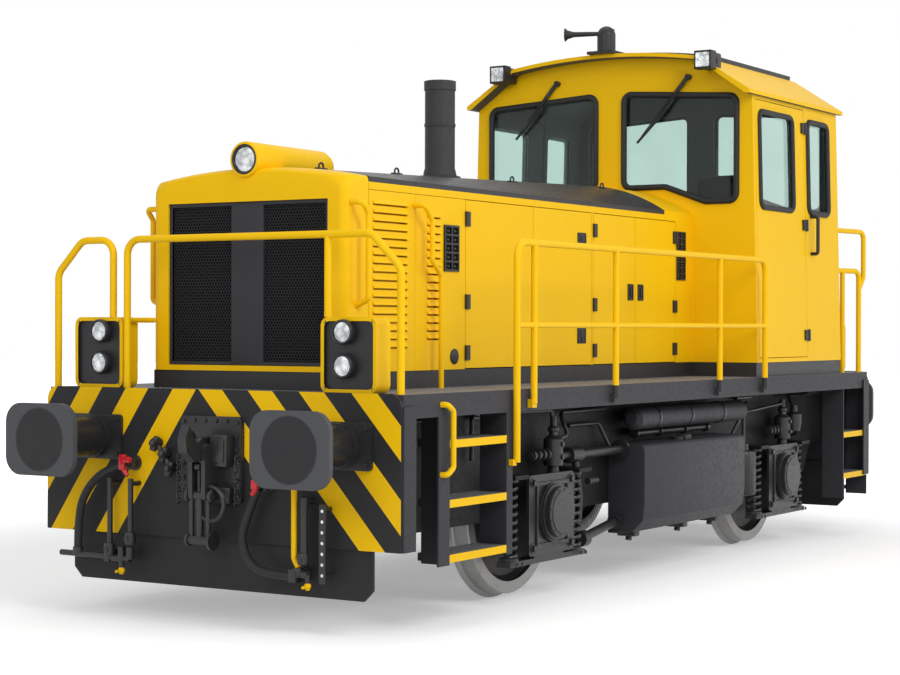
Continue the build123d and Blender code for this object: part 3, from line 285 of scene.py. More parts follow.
def grey_feet(nodes, colour, height):
    """Posts that turn frame grey where they pass down over the deck's edge."""
    x, _, z = nodes.place()
    below_deck = nodes.math("LESS_THAN", z, 1.322)
    behind_first_post = nodes.math("LESS_THAN", x, 2.0)
    return nodes.mix(nodes.times(below_deck, behind_first_post), colour, FRAME_GREY), height


def chequered(nodes, colour, height):
    """Lozenges worn bright on darker plate."""
    raised = nodes.group(TREAD)[0]
    worn = nodes.mix(raised, colour, (0.55, 0.56, 0.58))
    return worn, nodes.plus(height, nodes.times(raised, 0.9))


def greased(nodes, colour, height):
    """A dark ragged disc on the buffer head."""
    return nodes.mix(nodes.group(GREASE)[0], colour, (0.028, 0.028, 0.03)), height


def fluted(nodes, colour, height):
    """The small facets of a lamp reflector, in place of the plate's waves."""
    cells = nodes.add("ShaderNodeTexVoronoi", {"Vector": nodes.coordinates(), "Scale": 26},
                      feature="F1").outputs["Distance"]
    return nodes.mix(nodes.ramp(cells, 0.2, 0.9), colour, (0.4, 0.42, 0.44)), cells


def glass(name, tint):
    """A clear tinted pane with faint smears."""
    material, nodes, shader = new_material(name)
    smear = nodes.noise(3.0, 4)
    nodes.feed(shader, {
        "Roughness": nodes.ramp(smear, 0.4, 0.8, 0.0, 0.05),
        "Base Color": nodes.mix(nodes.ramp(smear, 0.35, 0.8, 0.0, 0.25), tint, (0.6, 0.7, 0.68)),
        "Transmission Weight": 1.0,
        "IOR": 1.3,
        "Specular IOR Level": 0.5,
    })
    return material


YELLOW_RGB = (0.92, 0.545, 0.003)
BLACK = (0.026, 0.026, 0.028)
FRAME_GREY = (0.04, 0.04, 0.045)
YELLOW = paint("yellow enamel", YELLOW_RGB, 0.4, 0.12, (0.5, 0.27, 0.02), coat=0.03, gloss=0.12)
RAIL = paint("rail enamel", YELLOW_RGB, 0.4, 0.12, (0.5, 0.27, 0.02), coat=0.03, gloss=0.12,
             pattern=grey_feet)
STRIPES = paint("striped enamel", YELLOW_RGB, 0.42, 0.1, (0.1, 0.085, 0.05), gloss=0.12,
                pattern=striped)
DEFLECTOR = paint("plate under the headstock", BLACK, 0.45, 0.12, (0.05, 0.048, 0.045),
                  gloss=0.15, pattern=part_striped)
UNDER = paint("shaded underframe black", (0.009, 0.009, 0.0095), 0.5, 0.2, (0.03, 0.028, 0.025),
              gloss=0.2)
CHARCOAL = paint("charcoal enamel", FRAME_GREY, 0.4, 0.15, (0.06, 0.06, 0.062), gloss=0.12)
CASING_BLACK = paint("bonnet top black", (0.03, 0.03, 0.032), 0.38, 0.1, (0.05, 0.05, 0.052),
                     waves=0.04, gloss=0.25)
FRAME = paint("frame grey", FRAME_GREY, 0.48, 0.2, grey(0.06), gloss=0.15)
DECK = paint("deck plate", (0.075, 0.088, 0.115), 0.5, 0.2, (0.08, 0.09, 0.11), gloss=0.2,
             pattern=chequered)
CASTING = paint("oily casting", (0.018, 0.018, 0.02), 0.34, 0.3, (0.05, 0.048, 0.045), waves=0.5,
                gloss=0.4)
BUFFER_GREY = paint("buffer grey", (0.08, 0.082, 0.088), 0.45, 0.2, (0.06, 0.055, 0.05), gloss=0.15,
                    pattern=greased)
# Near-black for the radiator core; the same material gives the painted shade behind the side vents.
CORE_AND_SHADE = paint("radiator core", grey(0.004), 0.7, 0.1, grey(0.01), gloss=0.1)
WHEEL = paint("wheel steel", (0.05, 0.048, 0.046), 0.45, 0.3, (0.11, 0.09, 0.07), metallic=0.5)
TYRE_STEEL = paint("worn tyre steel", (0.34, 0.335, 0.33), 0.45, 0.3, (0.12, 0.1, 0.08),
                   metallic=0.8)
EXHAUST = paint("exhaust black", (0.03, 0.03, 0.032), 0.55, 0.2, grey(0.07))
INTERIOR = paint("cab lining", (0.085, 0.092, 0.1), 0.55, 0.1, grey(0.06))
DESK = paint("desk grey", (0.1, 0.105, 0.11), 0.5, 0.15)
RUBBER = paint("black rubber", (0.016, 0.016, 0.017), 0.55, 0.15, grey(0.05))
PLASTIC = paint("black plastic", (0.02, 0.02, 0.022), 0.4, 0.1, grey(0.06))
RED = paint("red handle", (0.55, 0.01, 0.02), 0.35, 0.2, (0.1, 0.03, 0.02), coat=0.3)
BRIGHT = paint("bright steel", (0.55, 0.55, 0.56), 0.25, 0.1, grey(0.2), metallic=1.0)
CLOTH = paint("seat cloth", (0.022, 0.022, 0.026), 0.85, 0.1, grey(0.06), waves=0.6)
GLASS = glass("cab glass", (0.69, 0.82, 0.78))
LENS = glass("lamp lens", (0.96, 0.97, 0.97))
REFLECTOR = paint("lamp reflector", (0.92, 0.92, 0.93), 0.25, 0.0, metallic=0.6, waves=0.0,
                  pattern=fluted)
GRATING = paint("step grating", (0.1, 0.1, 0.104), 0.4, 0.2, grey(0.14), metallic=0.1,
                pattern=chequered)


def by_hand(*names):
    """Each name with its left and its right ending, in one line."""
    return " ".join(f"{name}_{hand}" for name in names for _, hand in HANDS)


NODE_MATERIALS = {
    YELLOW: "front_cowl bonnet_shell bonnet_side_panels top_lamp headlight_boxes cab_shell "
            "cab_roof grab_rails front_handrail rear_handrails " + by_hand("cab_door", *LEAVES),
    RAIL: by_hand("side_handrail"),
    STRIPES: "front_headstock rear_headstock",
    CHARCOAL: "fuel_tanks radiator_grille",
    CASING_BLACK: "bonnet_plinth bonnet_top_panels cab_floor",
    DEFLECTOR: "deflector_plates",
    UNDER: "underframe",
    FRAME: "front_steps rear_steps air_reservoirs",
    DECK: "walkway_deck",
    CASTING: "buffer_casings draw_hooks screw_couplings axleboxes suspension_springs "
             "brake_rigging engine_block brake_fittings",
    BUFFER_GREY: "buffer_heads",
    WHEEL: "front_wheelset rear_wheelset",
    PLASTIC: "roof_lamps horn",
    CORE_AND_SHADE: "radiator_core",
    EXHAUST: "exhaust_stack",
    GLASS: "cab_windows " + by_hand("door_glass"),
    CLOTH: "driver_seat",
    DESK: "control_desk",
    RUBBER: by_hand("brake_hose_front", "brake_hose_rear"),
}
for material, names in NODE_MATERIALS.items():
    for name in names.split():
        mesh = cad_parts[name].data
        mesh.materials.clear()
        mesh.materials.append(material)


# ---- form helpers ----
def rounded(points, radius, steps=6):
    """The closed outline through points (two numbers each) with its corners rounded."""
    outline = []
    for number, corner in enumerate(points):
        corner = Vector(corner)
        before = (Vector(points[number - 1]) - corner).normalized()
        after = (Vector(points[(number + 1) % len(points)]) - corner).normalized()
        half = before.angle(after) / 2
        centre = corner + (before + after).normalized() * (radius / math.sin(half))
        start = corner + before * (radius / math.tan(half)) - centre
        turn = math.copysign(math.pi - 2 * half, before.cross(start))
        outline += [centre + Matrix.Rotation(turn * step / steps, 2) @ start
                    for step in range(steps + 1)]
    return outline


class Piece:
    """One new piece, built up from simple shapes placed in the frame, sizes in millimetres."""

    def __init__(self):
        self.bm = bmesh.new()

    def box(self, xs, ys, zs, bevel=0, steps=2):
        """A block, with all its edges rounded if a bevel is given."""
        low, high = at(min(xs), min(ys), min(zs)), at(max(xs), max(ys), max(zs))
        scale = Matrix.Diagonal((*(high - low), 1))
        made = bmesh.ops.create_cube(self.bm, size=1,
                                     matrix=Matrix.Translation((low + high) / 2) @ scale)
        if bevel:
            self.bevel({edge for vert in made["verts"] for edge in vert.link_edges}, bevel, steps)
        return self

    def bevel(self, edges, radius, steps, profile=0.5):
        bmesh.ops.bevel(self.bm, geom=list(edges), offset=radius / 1000, segments=steps,
                        profile=profile, affect="EDGES", material=-1)

    def rod(self, start, end, radius, end_radius=None, segments=20):
        """A round bar or a cone between two points."""
        start, end = at(*start), at(*end)
        turn = Vector(UP).rotation_difference(end - start).to_matrix().to_4x4()
        last = radius if end_radius is None else end_radius
        bmesh.ops.create_cone(self.bm, cap_ends=True, segments=segments, radius1=radius / 1000,
                              radius2=last / 1000, depth=(end - start).length,
                              matrix=Matrix.Translation((start + end) / 2) @ turn)
        return self

    def rods(self, *bars):
        """Several round bars, each as rod() takes it."""
        for bar in bars:
            self.rod(*bar)
        return self

    def bolts(self, places, axis, radius=12, height=11):
        """Hexagon heads standing on a face."""
        for place in places:
            end = [a + b * height for a, b in zip(place, axis)]
            self.rod(place, end, radius, segments=6)
        return self

    def lathe(self, centre, axis, profile, steps=32):
        """A turned shape: profile gives (distance along the axis, radius) pairs."""
        axis = Vector(axis).normalized()
        side = axis.orthogonal().normalized()
        spots = [at(*centre) + axis * (a / 1000) + side * (r / 1000) for a, r in profile]
        verts = [self.bm.verts.new(spot) for spot in spots]
        edges = [self.bm.edges.new(pair) for pair in zip(verts, verts[1:])]
        bmesh.ops.spin(self.bm, geom=verts + edges, cent=at(*centre), axis=axis,
                       angle=2 * math.pi, steps=steps, use_merge=True)
        return self

    def ball(self, centre, radius):
        bmesh.ops.create_uvsphere(self.bm, u_segments=16, v_segments=8, radius=radius / 1000,
                                  matrix=Matrix.Translation(at(*centre)))
        return self

    def ring(self, centre, axis, radius, thickness, steps=28):
        """A round ring, such as a chain link or a grip."""
        around = [(thickness * math.cos(a), radius + thickness * math.sin(a))
                  for a in (2 * math.pi * i / 8 for i in range(9))]
        return self.lathe(centre, axis, around, steps)

    def twin(self, turn):
        """Add a copy of everything so far, moved by a matrix (a turn or a mirror)."""
        everything = self.bm.verts[:] + self.bm.edges[:] + self.bm.faces[:]
        copy = bmesh.ops.duplicate(self.bm, geom=everything)
        verts = [part for part in copy["geom"] if isinstance(part, bmesh.types.BMVert)]
        bmesh.ops.transform(self.bm, matrix=turn, verts=verts)
        return self

    def mesh(self, name):
        """The finished mesh; the piece takes no more shapes after it."""
        mesh = bpy.data.meshes.new(name)
        self.bm.to_mesh(mesh)
        self.bm.free()
        return mesh

    def done(self, name, material, body="chassis", sharp=38, replaces=None):
        """Finish the piece as an object that rides on a body."""
        bmesh.ops.remove_doubles(self.bm, verts=self.bm.verts, dist=1e-6)
        bmesh.ops.recalc_face_normals(self.bm, faces=self.bm.faces)
        for face in self.bm.faces:
            face.smooth = True
        mesh = self.mesh(name)
        mesh.set_sharp_from_angle(angle=math.radians(sharp))
        return settle(mesh, material, body, replaces)


def show(name, data):
    """A new object that is put into the scene."""
    thing = bpy.data.objects.new(name, data)
    bpy.context.scene.collection.objects.link(thing)
    return thing


def settle(data, material, body="chassis", replaces=None):
    """Put a mesh or a curve into the scene with its material and body, hiding any CAD parts it
    replaces.
    """
    data.materials.append(material)
    piece = show(data.name, data)
    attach(piece, body)
    if replaces:
        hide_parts(*replaces)
    return piece


def round_bar(name, runs, radius, kind="POLY", closed=False, steps=3):
    """A curve with a round section that follows one or more lists of points."""
    curve = bpy.data.curves.new(name, "CURVE")
    curve.dimensions = "3D"
    curve.bevel_depth = radius / 1000
    curve.bevel_resolution = steps
    curve.use_fill_caps = not closed
    for points in runs:
        line = curve.splines.new(kind)
        line.points.add(len(points) - 1)
        for spot, point in zip(line.points, points):
            spot.co = (*at(*point), 1)
        line.use_cyclic_u = closed
    return curve


def pipe(name, runs, radius, material, body="chassis", closed=False):
    """Pipes or strips of one thickness, as one piece that rides on a body."""
    return settle(round_bar(name, runs, radius, closed=closed), material, body)


def bent(points, radius):
    """Round off the corners of an open route of straight runs."""
    steps = 5
    route = [Vector(points[0])]
    for before, corner, after in zip(points, points[1:], points[2:]):
        corner = Vector(corner)
        into, out = Vector(before) - corner, Vector(after) - corner
        reach = min(radius / math.tan(into.angle(out) / 2), into.length * 0.49, out.length * 0.49)
        into.normalize()
        out.normalize()
        for step in range(steps + 1):
            t = step / steps
            route.append((1 - t) ** 2 * (corner + into * reach) + 2 * t * (1 - t) * corner
                         + t ** 2 * (corner + out * reach))
    route.append(Vector(points[-1]))
    return route


def round_the_clock(centre, radius, count, start=0.0):
    """Places evenly spaced on a circle, as pairs."""
    angles = (start + 2 * math.pi * number / count for number in range(count))
    return [(centre[0] + radius * math.cos(a), centre[1] + radius * math.sin(a)) for a in angles]


def repaint(node, material, test):
    """Give a CAD node's faces that pass a test (centre in mm, normal) a second material."""
    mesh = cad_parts[node].data
    if material.name not in mesh.materials:
        mesh.materials.append(material)
    index = mesh.materials.find(material.name)
    for face in mesh.polygons:
        if test(face.center * 1000, face.normal):
            face.material_index = index


# ---- faces of the CAD pieces ----
def side_wall_y(z):
    """How far out the cab's side wall stands at a height."""
    return 1220 - (z - 1430) * 50 / 1970


def in_box(point, xs, ys, zs):
    return xs[0] < point.x < xs[1] and ys[0] < point.y < ys[1] and zs[0] < point.z < zs[1]


def opening(axis, xs, ys, zs):
    """A test for the faces round an opening, none of which faces along its axis."""
    return lambda point, normal: in_box(point, xs, ys, zs) and abs(normal[axis]) < 0.5


def is_lamp_recess(point, normal):
    return abs(point.x) > 3451 and 728 < abs(point.y) < 1055 and 1346 < point.z < 1718


def is_tyre(point, normal):
    radius = min(math.hypot(point.x - axle_x, point.z - AXLE_Z) for axle_x in AXLES_X)
    tread, outer_ring = radius > 500, radius > 447 and abs(point.y) > 810
    return abs(point.y) > 670 and (tread or outer_ring)


def is_nosing(point, normal):
    tops = FRONT_STEPS_Z if point.x > 0 else REAR_STEPS_Z
    between_sides = 2412 < point.x < 3014 or -3466 < point.x < -2962
    faces_out = abs(normal.y) > 0.9 and abs(point.y) > 1250
    return between_sides and faces_out and any(top - 45 < point.z < top for top in tops)


def is_tread(point, normal):
    return normal.z > 0.9 and any(abs(point.z - top) < 1 for top in FRONT_STEPS_Z + REAR_STEPS_Z)


def is_cab_lining(point, normal):
    inside = in_box(point, (-2940, -1350), (-1171, 1171), (1430, 3760))
    end_wall = abs(normal.x) > 0.9 and -2937 < point.x < -1353
    return inside and (end_wall or normal.y * point.y < -0.1)


def crown_drop(x):
    """How far the bonnet's crown slopes down towards the nose at a place along it."""
    return NOSE_DROP * max(0, (x - CROWN_REAR) / (CROWN_NOSE - CROWN_REAR))


SIDE_WALLS = (-1230, 1230)
SIDE_WINDOWS_Z = (2575, 3295)
repaint("headlight_boxes", PLASTIC, is_lamp_recess)
for _, place in ENDS:
    repaint(f"{place}_wheelset", TYRE_STEEL, is_tyre)
    repaint(f"{place}_steps", YELLOW, is_nosing)
    repaint(f"{place}_steps", GRATING, is_tread)
repaint("walkway_deck", FRAME, lambda point, normal: normal.z < 0.9)
for test in (is_cab_lining,
             opening(0, (-2990, -1300), (-1065, 1065), (2600, 3475)),
             opening(1, (-2775, -2345), SIDE_WALLS, SIDE_WINDOWS_Z),
             opening(1, (-2300, -1340), SIDE_WALLS, (3300, 3400))):
    repaint("cab_shell", INTERIOR, test)
repaint("cab_roof", INTERIOR, lambda point, normal: normal.z < -0.5 and -2940 < point.x < -1350)
for _, hand in HANDS:
    door = f"cab_door_{hand}"
    repaint(door, INTERIOR, lambda point, normal: normal.y * point.y < 0 and abs(normal.y) > 0.8)
    repaint(door, INTERIOR, opening(1, (-2055, -1410), SIDE_WALLS, SIDE_WINDOWS_Z))
    repaint(door, PLASTIC, lambda point, normal: point.x < -2200 and abs(
        point.y) > side_wall_y(point.z) + 3)
    for leaf in LEAVES:
        repaint(f"{leaf}_{hand}", PLASTIC, lambda point, normal: abs(point.y) > BONNET_Y + 0.5)


# ---- ends ----
def make_end_castings():
    """Bolts, grease rings, the hook's housing, cocks and pipe clips on both headstocks."""
    face = HEADSTOCK_X
    iron = Piece()
    for y in (-BUFFER_Y, BUFFER_Y):
        iron.bolts([(face + 22, y + a, BUFFER_Z + b) for a in (-176, 176) for b in (-100, 100)],
                   ALONG, 14)
        iron.lathe((3790, y, BUFFER_Z), ALONG,
                   [(-20, 100), (-20, 117), (0, 119), (9, 115), (9, 93)])
    iron.bolts([(face + 30, y, z) for y in (-190, 190) for z in (1150, 1075, 1000, 915, 830, 745)],
               ALONG)
    iron.bolts([(face + 30, y, 1157) for y in (-115, -40, 40, 115)], ALONG)
    iron.box((face + 29, face + 100), (42, 165), (905, 1085), 8)
    iron.box((face + 29, face + 70), (-130, 165), (700, 790), 8)
    iron.box((face + 100, face + 108), (58, 150), (930, 1060), 3)
    iron.lathe((3660, -35, 1060), (0, -1, 0), [(0, 10), (0, 40), (6, 46), (14, 40), (14, 10)])
    eye = [(0, 0), (0, 34), (4, 38), (14, 38), (18, 34), (20, 14), (22, 14), (22, 0)]
    for z in (745, 495):
        for y in (-88, 78):
            iron.lathe((3630, y, z), ACROSS, eye, 24)
    iron.rod((3630, -5, 745), (3630, -5, 900), 12).ball((3640, -5, 905), 24)
    iron.ring((3625, 70, 700), ALONG, 95, 13, 40)
    valve = [(-45, 0), (-45, 20), (-20, 24), (20, 24), (38, 16), (38, 0)]
    for y, z in ((-330, 960), (-395, 1020), (-285, 880)):
        iron.rod((face, y, z), (face + 62, y, z), 26)
        iron.lathe((face + 40, y, z), (0, 0.4, 1), valve, 16)
        iron.ball((face + 66, y, z), 21)
    iron.rod((face + 30, -395, 1020), (face + 30, -285, 880), 13)
    flange = [(0, 46), (10, 46), (14, 34), (40, 34), (44, 40), (62, 40), (66, 26)]
    for y, z in ((-575, 900), (385, 818)):
        iron.lathe((face, y, z), ALONG, flange, 20)
    for y, z, end in ((-700, 400, 35), (-545, 470, 35), (680, 430, 30), (640, 352, 25)):
        iron.lathe((3587, y, z), UP,
                   [(-end, 0), (-end, 30), (-14, 34), (14, 34), (end, 30), (end, 0)], 16)
        iron.bolts([(3612, y, z)], ALONG, 16, 14)
    for y in (-700, -608, -545):
        iron.rod((HOSE_X, y, 350), (HOSE_X, y, 420), 22)
    x = HOSE_X
    iron.rods(((x, -700, 352), (x, -545, 352), 19), ((x, -608, 352), (x, -608, 300), 15),
              ((x, 650, 345), (x, 715, 345), 19), ((x, 711, 345), (x, 711, 300), 15))
    iron.twin(HALF_TURN).done("end_castings", CASTING)


def make_end_trim():
    """Chains, red cock handles, yellow taps and pipes, and a row of small bright holes."""
    chain = Piece()
    for y in (205, -205):
        for link in range(9):
            axis = ALONG if link % 2 else ACROSS
            chain.ring((3566, y, 950 - 31 * link), axis, 15, 4.2, 14)
        chain.rod((3530, y, 966), (3572, y, 966), 7, segments=10)
    chain.twin(HALF_TURN).done("hanging_chains", CASTING)
    red = Piece()
    red.box((3600, 3632), (-600, -556), (862, 952), 9)
    red.box((3610, 3640), (-560, -512), (905, 940), 8)
    red.rod((3612, -570, 862), (3612, -545, 830), 15, 11)
    red.box((3600, 3632), (352, 396), (790, 848), 9).rod((3612, 378, 800), (3612, 350, 762), 17, 14)
    red.twin(HALF_TURN).done("cock_handles", RED)
    taps = Piece()
    for y in (-608, 711):
        taps.ball((HOSE_X, y, 284), 20).rod((HOSE_X, y, 300), (HOSE_X, y, 262), 13)
        taps.box((3584, 3640), (y - 7, y + 7), (272, 288), 4)
    taps.twin(HALF_TURN).done("drain_taps", YELLOW)
    route = bent([(3585, 616, 850), (3585, 616, 430), (3590, 650, 380)], 50)
    back = [(-x, -y, z) for x, y, z in route]
    pipe("yellow_air_pipes", [route, back], 17, YELLOW)
    slots = Piece()
    for z in range(345, 700, 58):
        slots.rod((3580, 801, z), (3584, 801, z), 9, segments=14)
    slots.twin(HALF_TURN).done("lever_holes", BRIGHT)


def make_lamps():
    """Bezels, reflectors and lenses of the lamps at both ends, on the nose and on the roof."""
    bezels, mirrors, lenses = Piece(), Piece(), Piece()
    bezel = [(-34, 67), (-6, 70), (10, 68), (15, 63), (13, 56), (0, 53)]
    for y in (-END_LAMP_Y, END_LAMP_Y):
        for z in END_LAMPS_Z:
            bezels.lathe((3492, y, z), ALONG, bezel)
            mirrors.lathe((3492.6, y, z), ALONG, [(0, 53), (0.4, 30), (0.4, 0)], 28)
            lenses.lathe((3493, y, z), ALONG, [(4, 55), (9, 40), (12, 20), (13, 0)], 28)
    for part in (bezels, mirrors, lenses):
        part.twin(OTHER_END)
    Piece().lathe((3240, 0, NOSE_LAMP_Z), ALONG, [
        (-790, 0), (-790, 60), (-770, 86), (-735, 100), (-12, 103), (-3, 101), (0, 95), (0, 88),
        (-30, 86), (-30, 0)], 48).done("nose_lamp_tube", YELLOW, replaces=["top_lamp"])
    nose = (3226, 0, NOSE_LAMP_Z)
    bezels.lathe(nose, ALONG, [(-4, 88), (12, 88), (16, 84), (16, 76), (4, 70)])
    mirrors.lathe(nose, ALONG, [(0, 74), (0.4, 30), (0.4, 0)], 28)
    lenses.lathe((3228, 0, NOSE_LAMP_Z), ALONG, [(4, 74), (9, 46), (12, 22), (13, 0)], 28)
    for y in (-ROOF_LAMP_Y, ROOF_LAMP_Y):
        for left, right, zs in ((-66, 66, (3587, 3600)), (-66, 66, (3705, 3718)),
                                (-66, -54, (3587, 3718)), (54, 66, (3587, 3718))):
            bezels.box((-1086, -1079), (y + left, y + right), zs, 2)
        bezels.box((-1290, -1100), (y - 62, y + 62), (3592, 3714), 16, steps=3)
        bezels.box((-1230, -1190), (y - 68, y + 68), (3630, 3676), 6)
        mirrors.box((-1085, -1083.5), (y - 55, y + 55), (3599, 3706))
        lenses.box((-1083, -1080), (y - 55, y + 55), (3599, 3706), 1)
    bezels.done("lamp_bezels", PLASTIC)
    mirrors.done("lamp_reflectors", REFLECTOR)
    lenses.done("lamp_lenses", LENS)


# ---- bonnet ----
def make_grille():
    """The frame, the centre strip and a honeycomb sheet with its six-sided holes cut out."""
    deep, low, high = (3184, 3208), 1461.3, 2403.7
    rim = Piece()
    for side in (-1, 1):
        rim.box(deep, (side * 553, side * 574.7), (low, high), 2)
        for zs in ((low, 1483), (2382, high)):
            rim.box(deep, (side * 115, side * 553), zs, 2)
    rim.box(deep, (-115, 115), (low, high), 2)
    rim.done("grille_frame", CHARCOAL)
    cells = Piece()
    pitch, wall, inner_y, outer_y, bottom, top = 20.0, 2.6, 118, 552, 1484, 2382
    row_step = pitch * math.sqrt(3) / 2
    for row in range(int((top - bottom) / row_step) + 1):
        for column in range(int((outer_y - inner_y) / pitch) + 1):
            y = inner_y + pitch * (column + (row % 2) / 2)
            z = bottom + row * row_step
            if y < outer_y and z < top:
                place = Matrix.Translation(at(3198, y, z)) @ Matrix.Rotation(math.pi / 2, 4, "Y")
                bmesh.ops.create_circle(cells.bm, cap_ends=True, segments=6,
                                        radius=pitch / math.sqrt(3) / 1000, matrix=place)
    outer = bmesh.ops.inset_individual(cells.bm, faces=cells.bm.faces[:], thickness=wall / 1000)
    rim_faces = set(outer["faces"])
    holes = [face for face in cells.bm.faces if face not in rim_faces]
    bmesh.ops.delete(cells.bm, geom=holes, context="FACES")
    bmesh.ops.remove_doubles(cells.bm, verts=cells.bm.verts, dist=2e-5)
    cells.twin(OTHER_SIDE)
    bmesh.ops.recalc_face_normals(cells.bm, faces=cells.bm.faces)
    for face in cells.bm.faces:
        if face.normal.x < 0:
            face.normal_flip()
    sheet = settle(cells.mesh("grille_honeycomb"), CHARCOAL, replaces=["radiator_grille"])
    thick = sheet.modifiers.new("sheet", "SOLIDIFY")
    thick.thickness = 0.003
    thick.offset = -1


def make_bonnet_top():
    """The cowl and the top panels, with a crown that slopes down towards the nose."""
    for name, material in (("front_cowl", YELLOW), ("bonnet_top_panels", CASING_BLACK)):
        top = Piece()
        top.bm.from_mesh(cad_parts[name].data)
        for vertex in top.bm.verts:
            above = vertex.co.z * 1000 - CROWN_FOOT
            if above > 0:
                vertex.co.z -= crown_drop(vertex.co.x * 1000) * above / CROWN_RISE / 1000
        top.done(f"sloped_{name}", material, sharp=30, replaces=[name])


def vent_strip(black, uprights, zs, slats, pitch, tall, slots, slot_up, depth, bevel):
    """The uprights and slats of a side vent, with a small slot in each opening."""
    low = zs[0]
    for x in uprights:
        black.box((x, x + 14), (BONNET_Y, BONNET_Y + depth), zs, bevel)
    for z in (low + row * pitch for row in range(slats)):
        black.box((uprights[0] + 2, uprights[-1] + 12), (BONNET_Y, BONNET_Y + depth - 1),
                  (z, z + tall), bevel)
        if z < low + (slats - 1) * pitch:
            for x in slots:
                black.box((x, x + 28), (BONNET_Y, BONNET_Y + depth - 4),
                          (z + slot_up, z + slot_up + 12), 2)


def make_bonnet_vents():
    """Side vents with near-black sheets behind them as painted shade in their openings, filler caps
    and the fittings on the bonnet's top.
    """
    backing = Piece().box((2250, 2960), (662, 667), (1500, 2400), 1)
    backing.twin(OTHER_SIDE).done("louvre_backing", YELLOW)
    # Near-black plates just on the bonnet's side behind the vent slats: painted shade standing in
    # for the dark depth of the vent openings.
    shade_sheets = Piece()
    for xs, zs in (((2042, 2194), (2024, 2294)), ((-1154, -1016), (2037, 2390))):
        shade_sheets.box(xs, (BONNET_Y, BONNET_Y + 2), zs)
    shade_sheets.twin(OTHER_SIDE).done("vent_painted_shade", CORE_AND_SHADE)
    black = Piece()
    vent_strip(black, (2036, 2112, 2188), (2020, 2298), slats=6, pitch=53, tall=14,
               slots=(2068, 2144), slot_up=26, depth=13, bevel=3)
    vent_strip(black, (-1156, -1092, -1028), (2035, 2392), slats=9, pitch=43, tall=13,
               slots=(-1132, -1068), slot_up=22, depth=12, bevel=2)
    black.lathe((2078, BONNET_Y, 1508), ACROSS,
                [(-1, 0), (-1, 46), (5, 47), (10, 40), (11, 14), (15, 12), (15, 0)], 28)
    black.twin(OTHER_SIDE)
    for x, out in ((2900, 300), (2046, 260), (700, 300), (-600, 300)):
        for y in (out, -out):
            z = CROWN_FOOT + (CROWN_RISE - crown_drop(x)) * (1 - (y / BONNET_Y) ** 2)
            black.box((x - 45, x + 45), (y - 16, y + 16), (z - 6, z + 9), 3)
            black.ring((x, y, z + 16), ACROSS, 22, 6, 20)
    black.done("bonnet_fittings", PLASTIC)


def make_latches(side, hand):
    """The latches and recessed handles of one side, each on its own leaf."""
    def out(low, high):
        return side * (BONNET_Y + low), side * (BONNET_Y + high)

    latch = Piece()
    for z in (2268, 1632):
        latch.box((396, 516), out(0, 6), (z - 54, z + 54), 4)
        for x in (402, 498):
            latch.box((x, x + 12), out(3, 10), (z - 48, z + 48), 3)
        latch.box((428, 478), out(4, 11), (z - 8, z + 34), 3)
        inner, outer = out(4, 13)
        latch.rod((456, inner, z - 28), (456, outer, z - 28), 14)
    latch.done(f"folding_door_latches_{hand}", CHARCOAL, body=f"folding_door_rear_{hand}")
    for x, leaf in ((-268, "side_door_front"), (-424, "side_door_rear")):
        handle = Piece()
        for left in (-42, 26):
            handle.box((x + left, x + left + 16), out(-1, 9), (1876, 1992), 5)
        for low in (1876, 1976):
            handle.box((x - 42, x + 42), out(-1, 9), (low, low + 16), 5)
        handle.box((x - 27, x + 27), out(0, 2), (1890, 1978), 1)
        handle.box((x - 9, x + 9), out(2, 12), (1900, 1968), 4)
        handle.done(f"{leaf}_handle_{hand}", PLASTIC, body=f"{leaf}_{hand}")


def make_exhaust():
    """A plain pipe with its foot, its bolts and a rolled rim."""
    stack = Piece()
    stack.lathe((EXHAUST_X, 0, 2664), UP,
                [(0, 84), (0, 138), (16, 138), (22, 112), (60, 104), (70, 100), (586, 100),
                 (586, 106), (646, 106), (648, 100), (646, 92), (440, 90), (440, 0)], 40)
    stack.lathe((EXHAUST_X, 0, 3010), UP, [(0, 100), (0, 104), (20, 104), (20, 100)], 40)
    stack.box((1020, 1045), (-10, 30), (3000, 3120), 8)
    stack.bolts([(x, y, 2680) for x, y in round_the_clock((EXHAUST_X, 0), 124, 8)], UP, 8, 7)
    stack.done("exhaust_pipe", EXHAUST, replaces=["exhaust_stack"])


# ---- cab ----
def windscreen(side):
    """The outline of one end window (Y across, Z up)."""
    corners = [(120, 3460), (1050, 3400), (1050, 2625), (800, 2625), (470, 2745), (120, 2745)]
    return [(side * y, z) for y, z in rounded(corners, 60)]


def make_window_rubbers():
    """Rubber round the windows; the doors' own moves with them."""
    def on_wall(side, left, right):
        corners = [(left, 3290), (left, 2580), (right, 2580), (right, 3290)]
        return [(x, side * (side_wall_y(z) + 2), z) for x, z in rounded(corners, 60)]

    loops = []
    for side, hand in HANDS:
        pipe(f"door_rubber_{hand}", [on_wall(side, -1415, -2050)], 21, RUBBER,
             body=f"cab_door_{hand}", closed=True)
        loops.append(on_wall(side, -2350, -2770))
        for x in (-1303, -2987):
            loops.append([(x, y, z) for y, z in windscreen(side)])
    pipe("window_rubbers", loops, 23, RUBBER, closed=True)


def make_wipers():
    """Two wipers, each an arm in two parts with its link and its blade."""
    def spot(x, ends, share, shift=(0, 0)):
        """A place part of the way down a wiper, shifted across and up."""
        return (x, *(a * (1 - share) + b * share + c for a, b, c in zip(*ends, shift)))

    wiper = Piece()
    for ends in (((-453, 3574), (-820, 3160)), ((663, 3557), (240, 3084))):
        wiper.rods((spot(-1306, ends, 0), spot(-1268, ends, 0), 22),
                   (spot(-1275, ends, 0), spot(-1280, ends, 0.5), 16, 12),
                   (spot(-1280, ends, 0.5), spot(-1284, ends, 0.9), 12, 8),
                   (spot(-1288, ends, 0.45, (18, -6)), spot(-1288, ends, 1), 14, 10, 8),
                   (spot(-1280, ends, 0.1, (16, 0)), spot(-1283, ends, 0.6, (16, 0)), 5))
    wiper.done("wipers", PLASTIC)


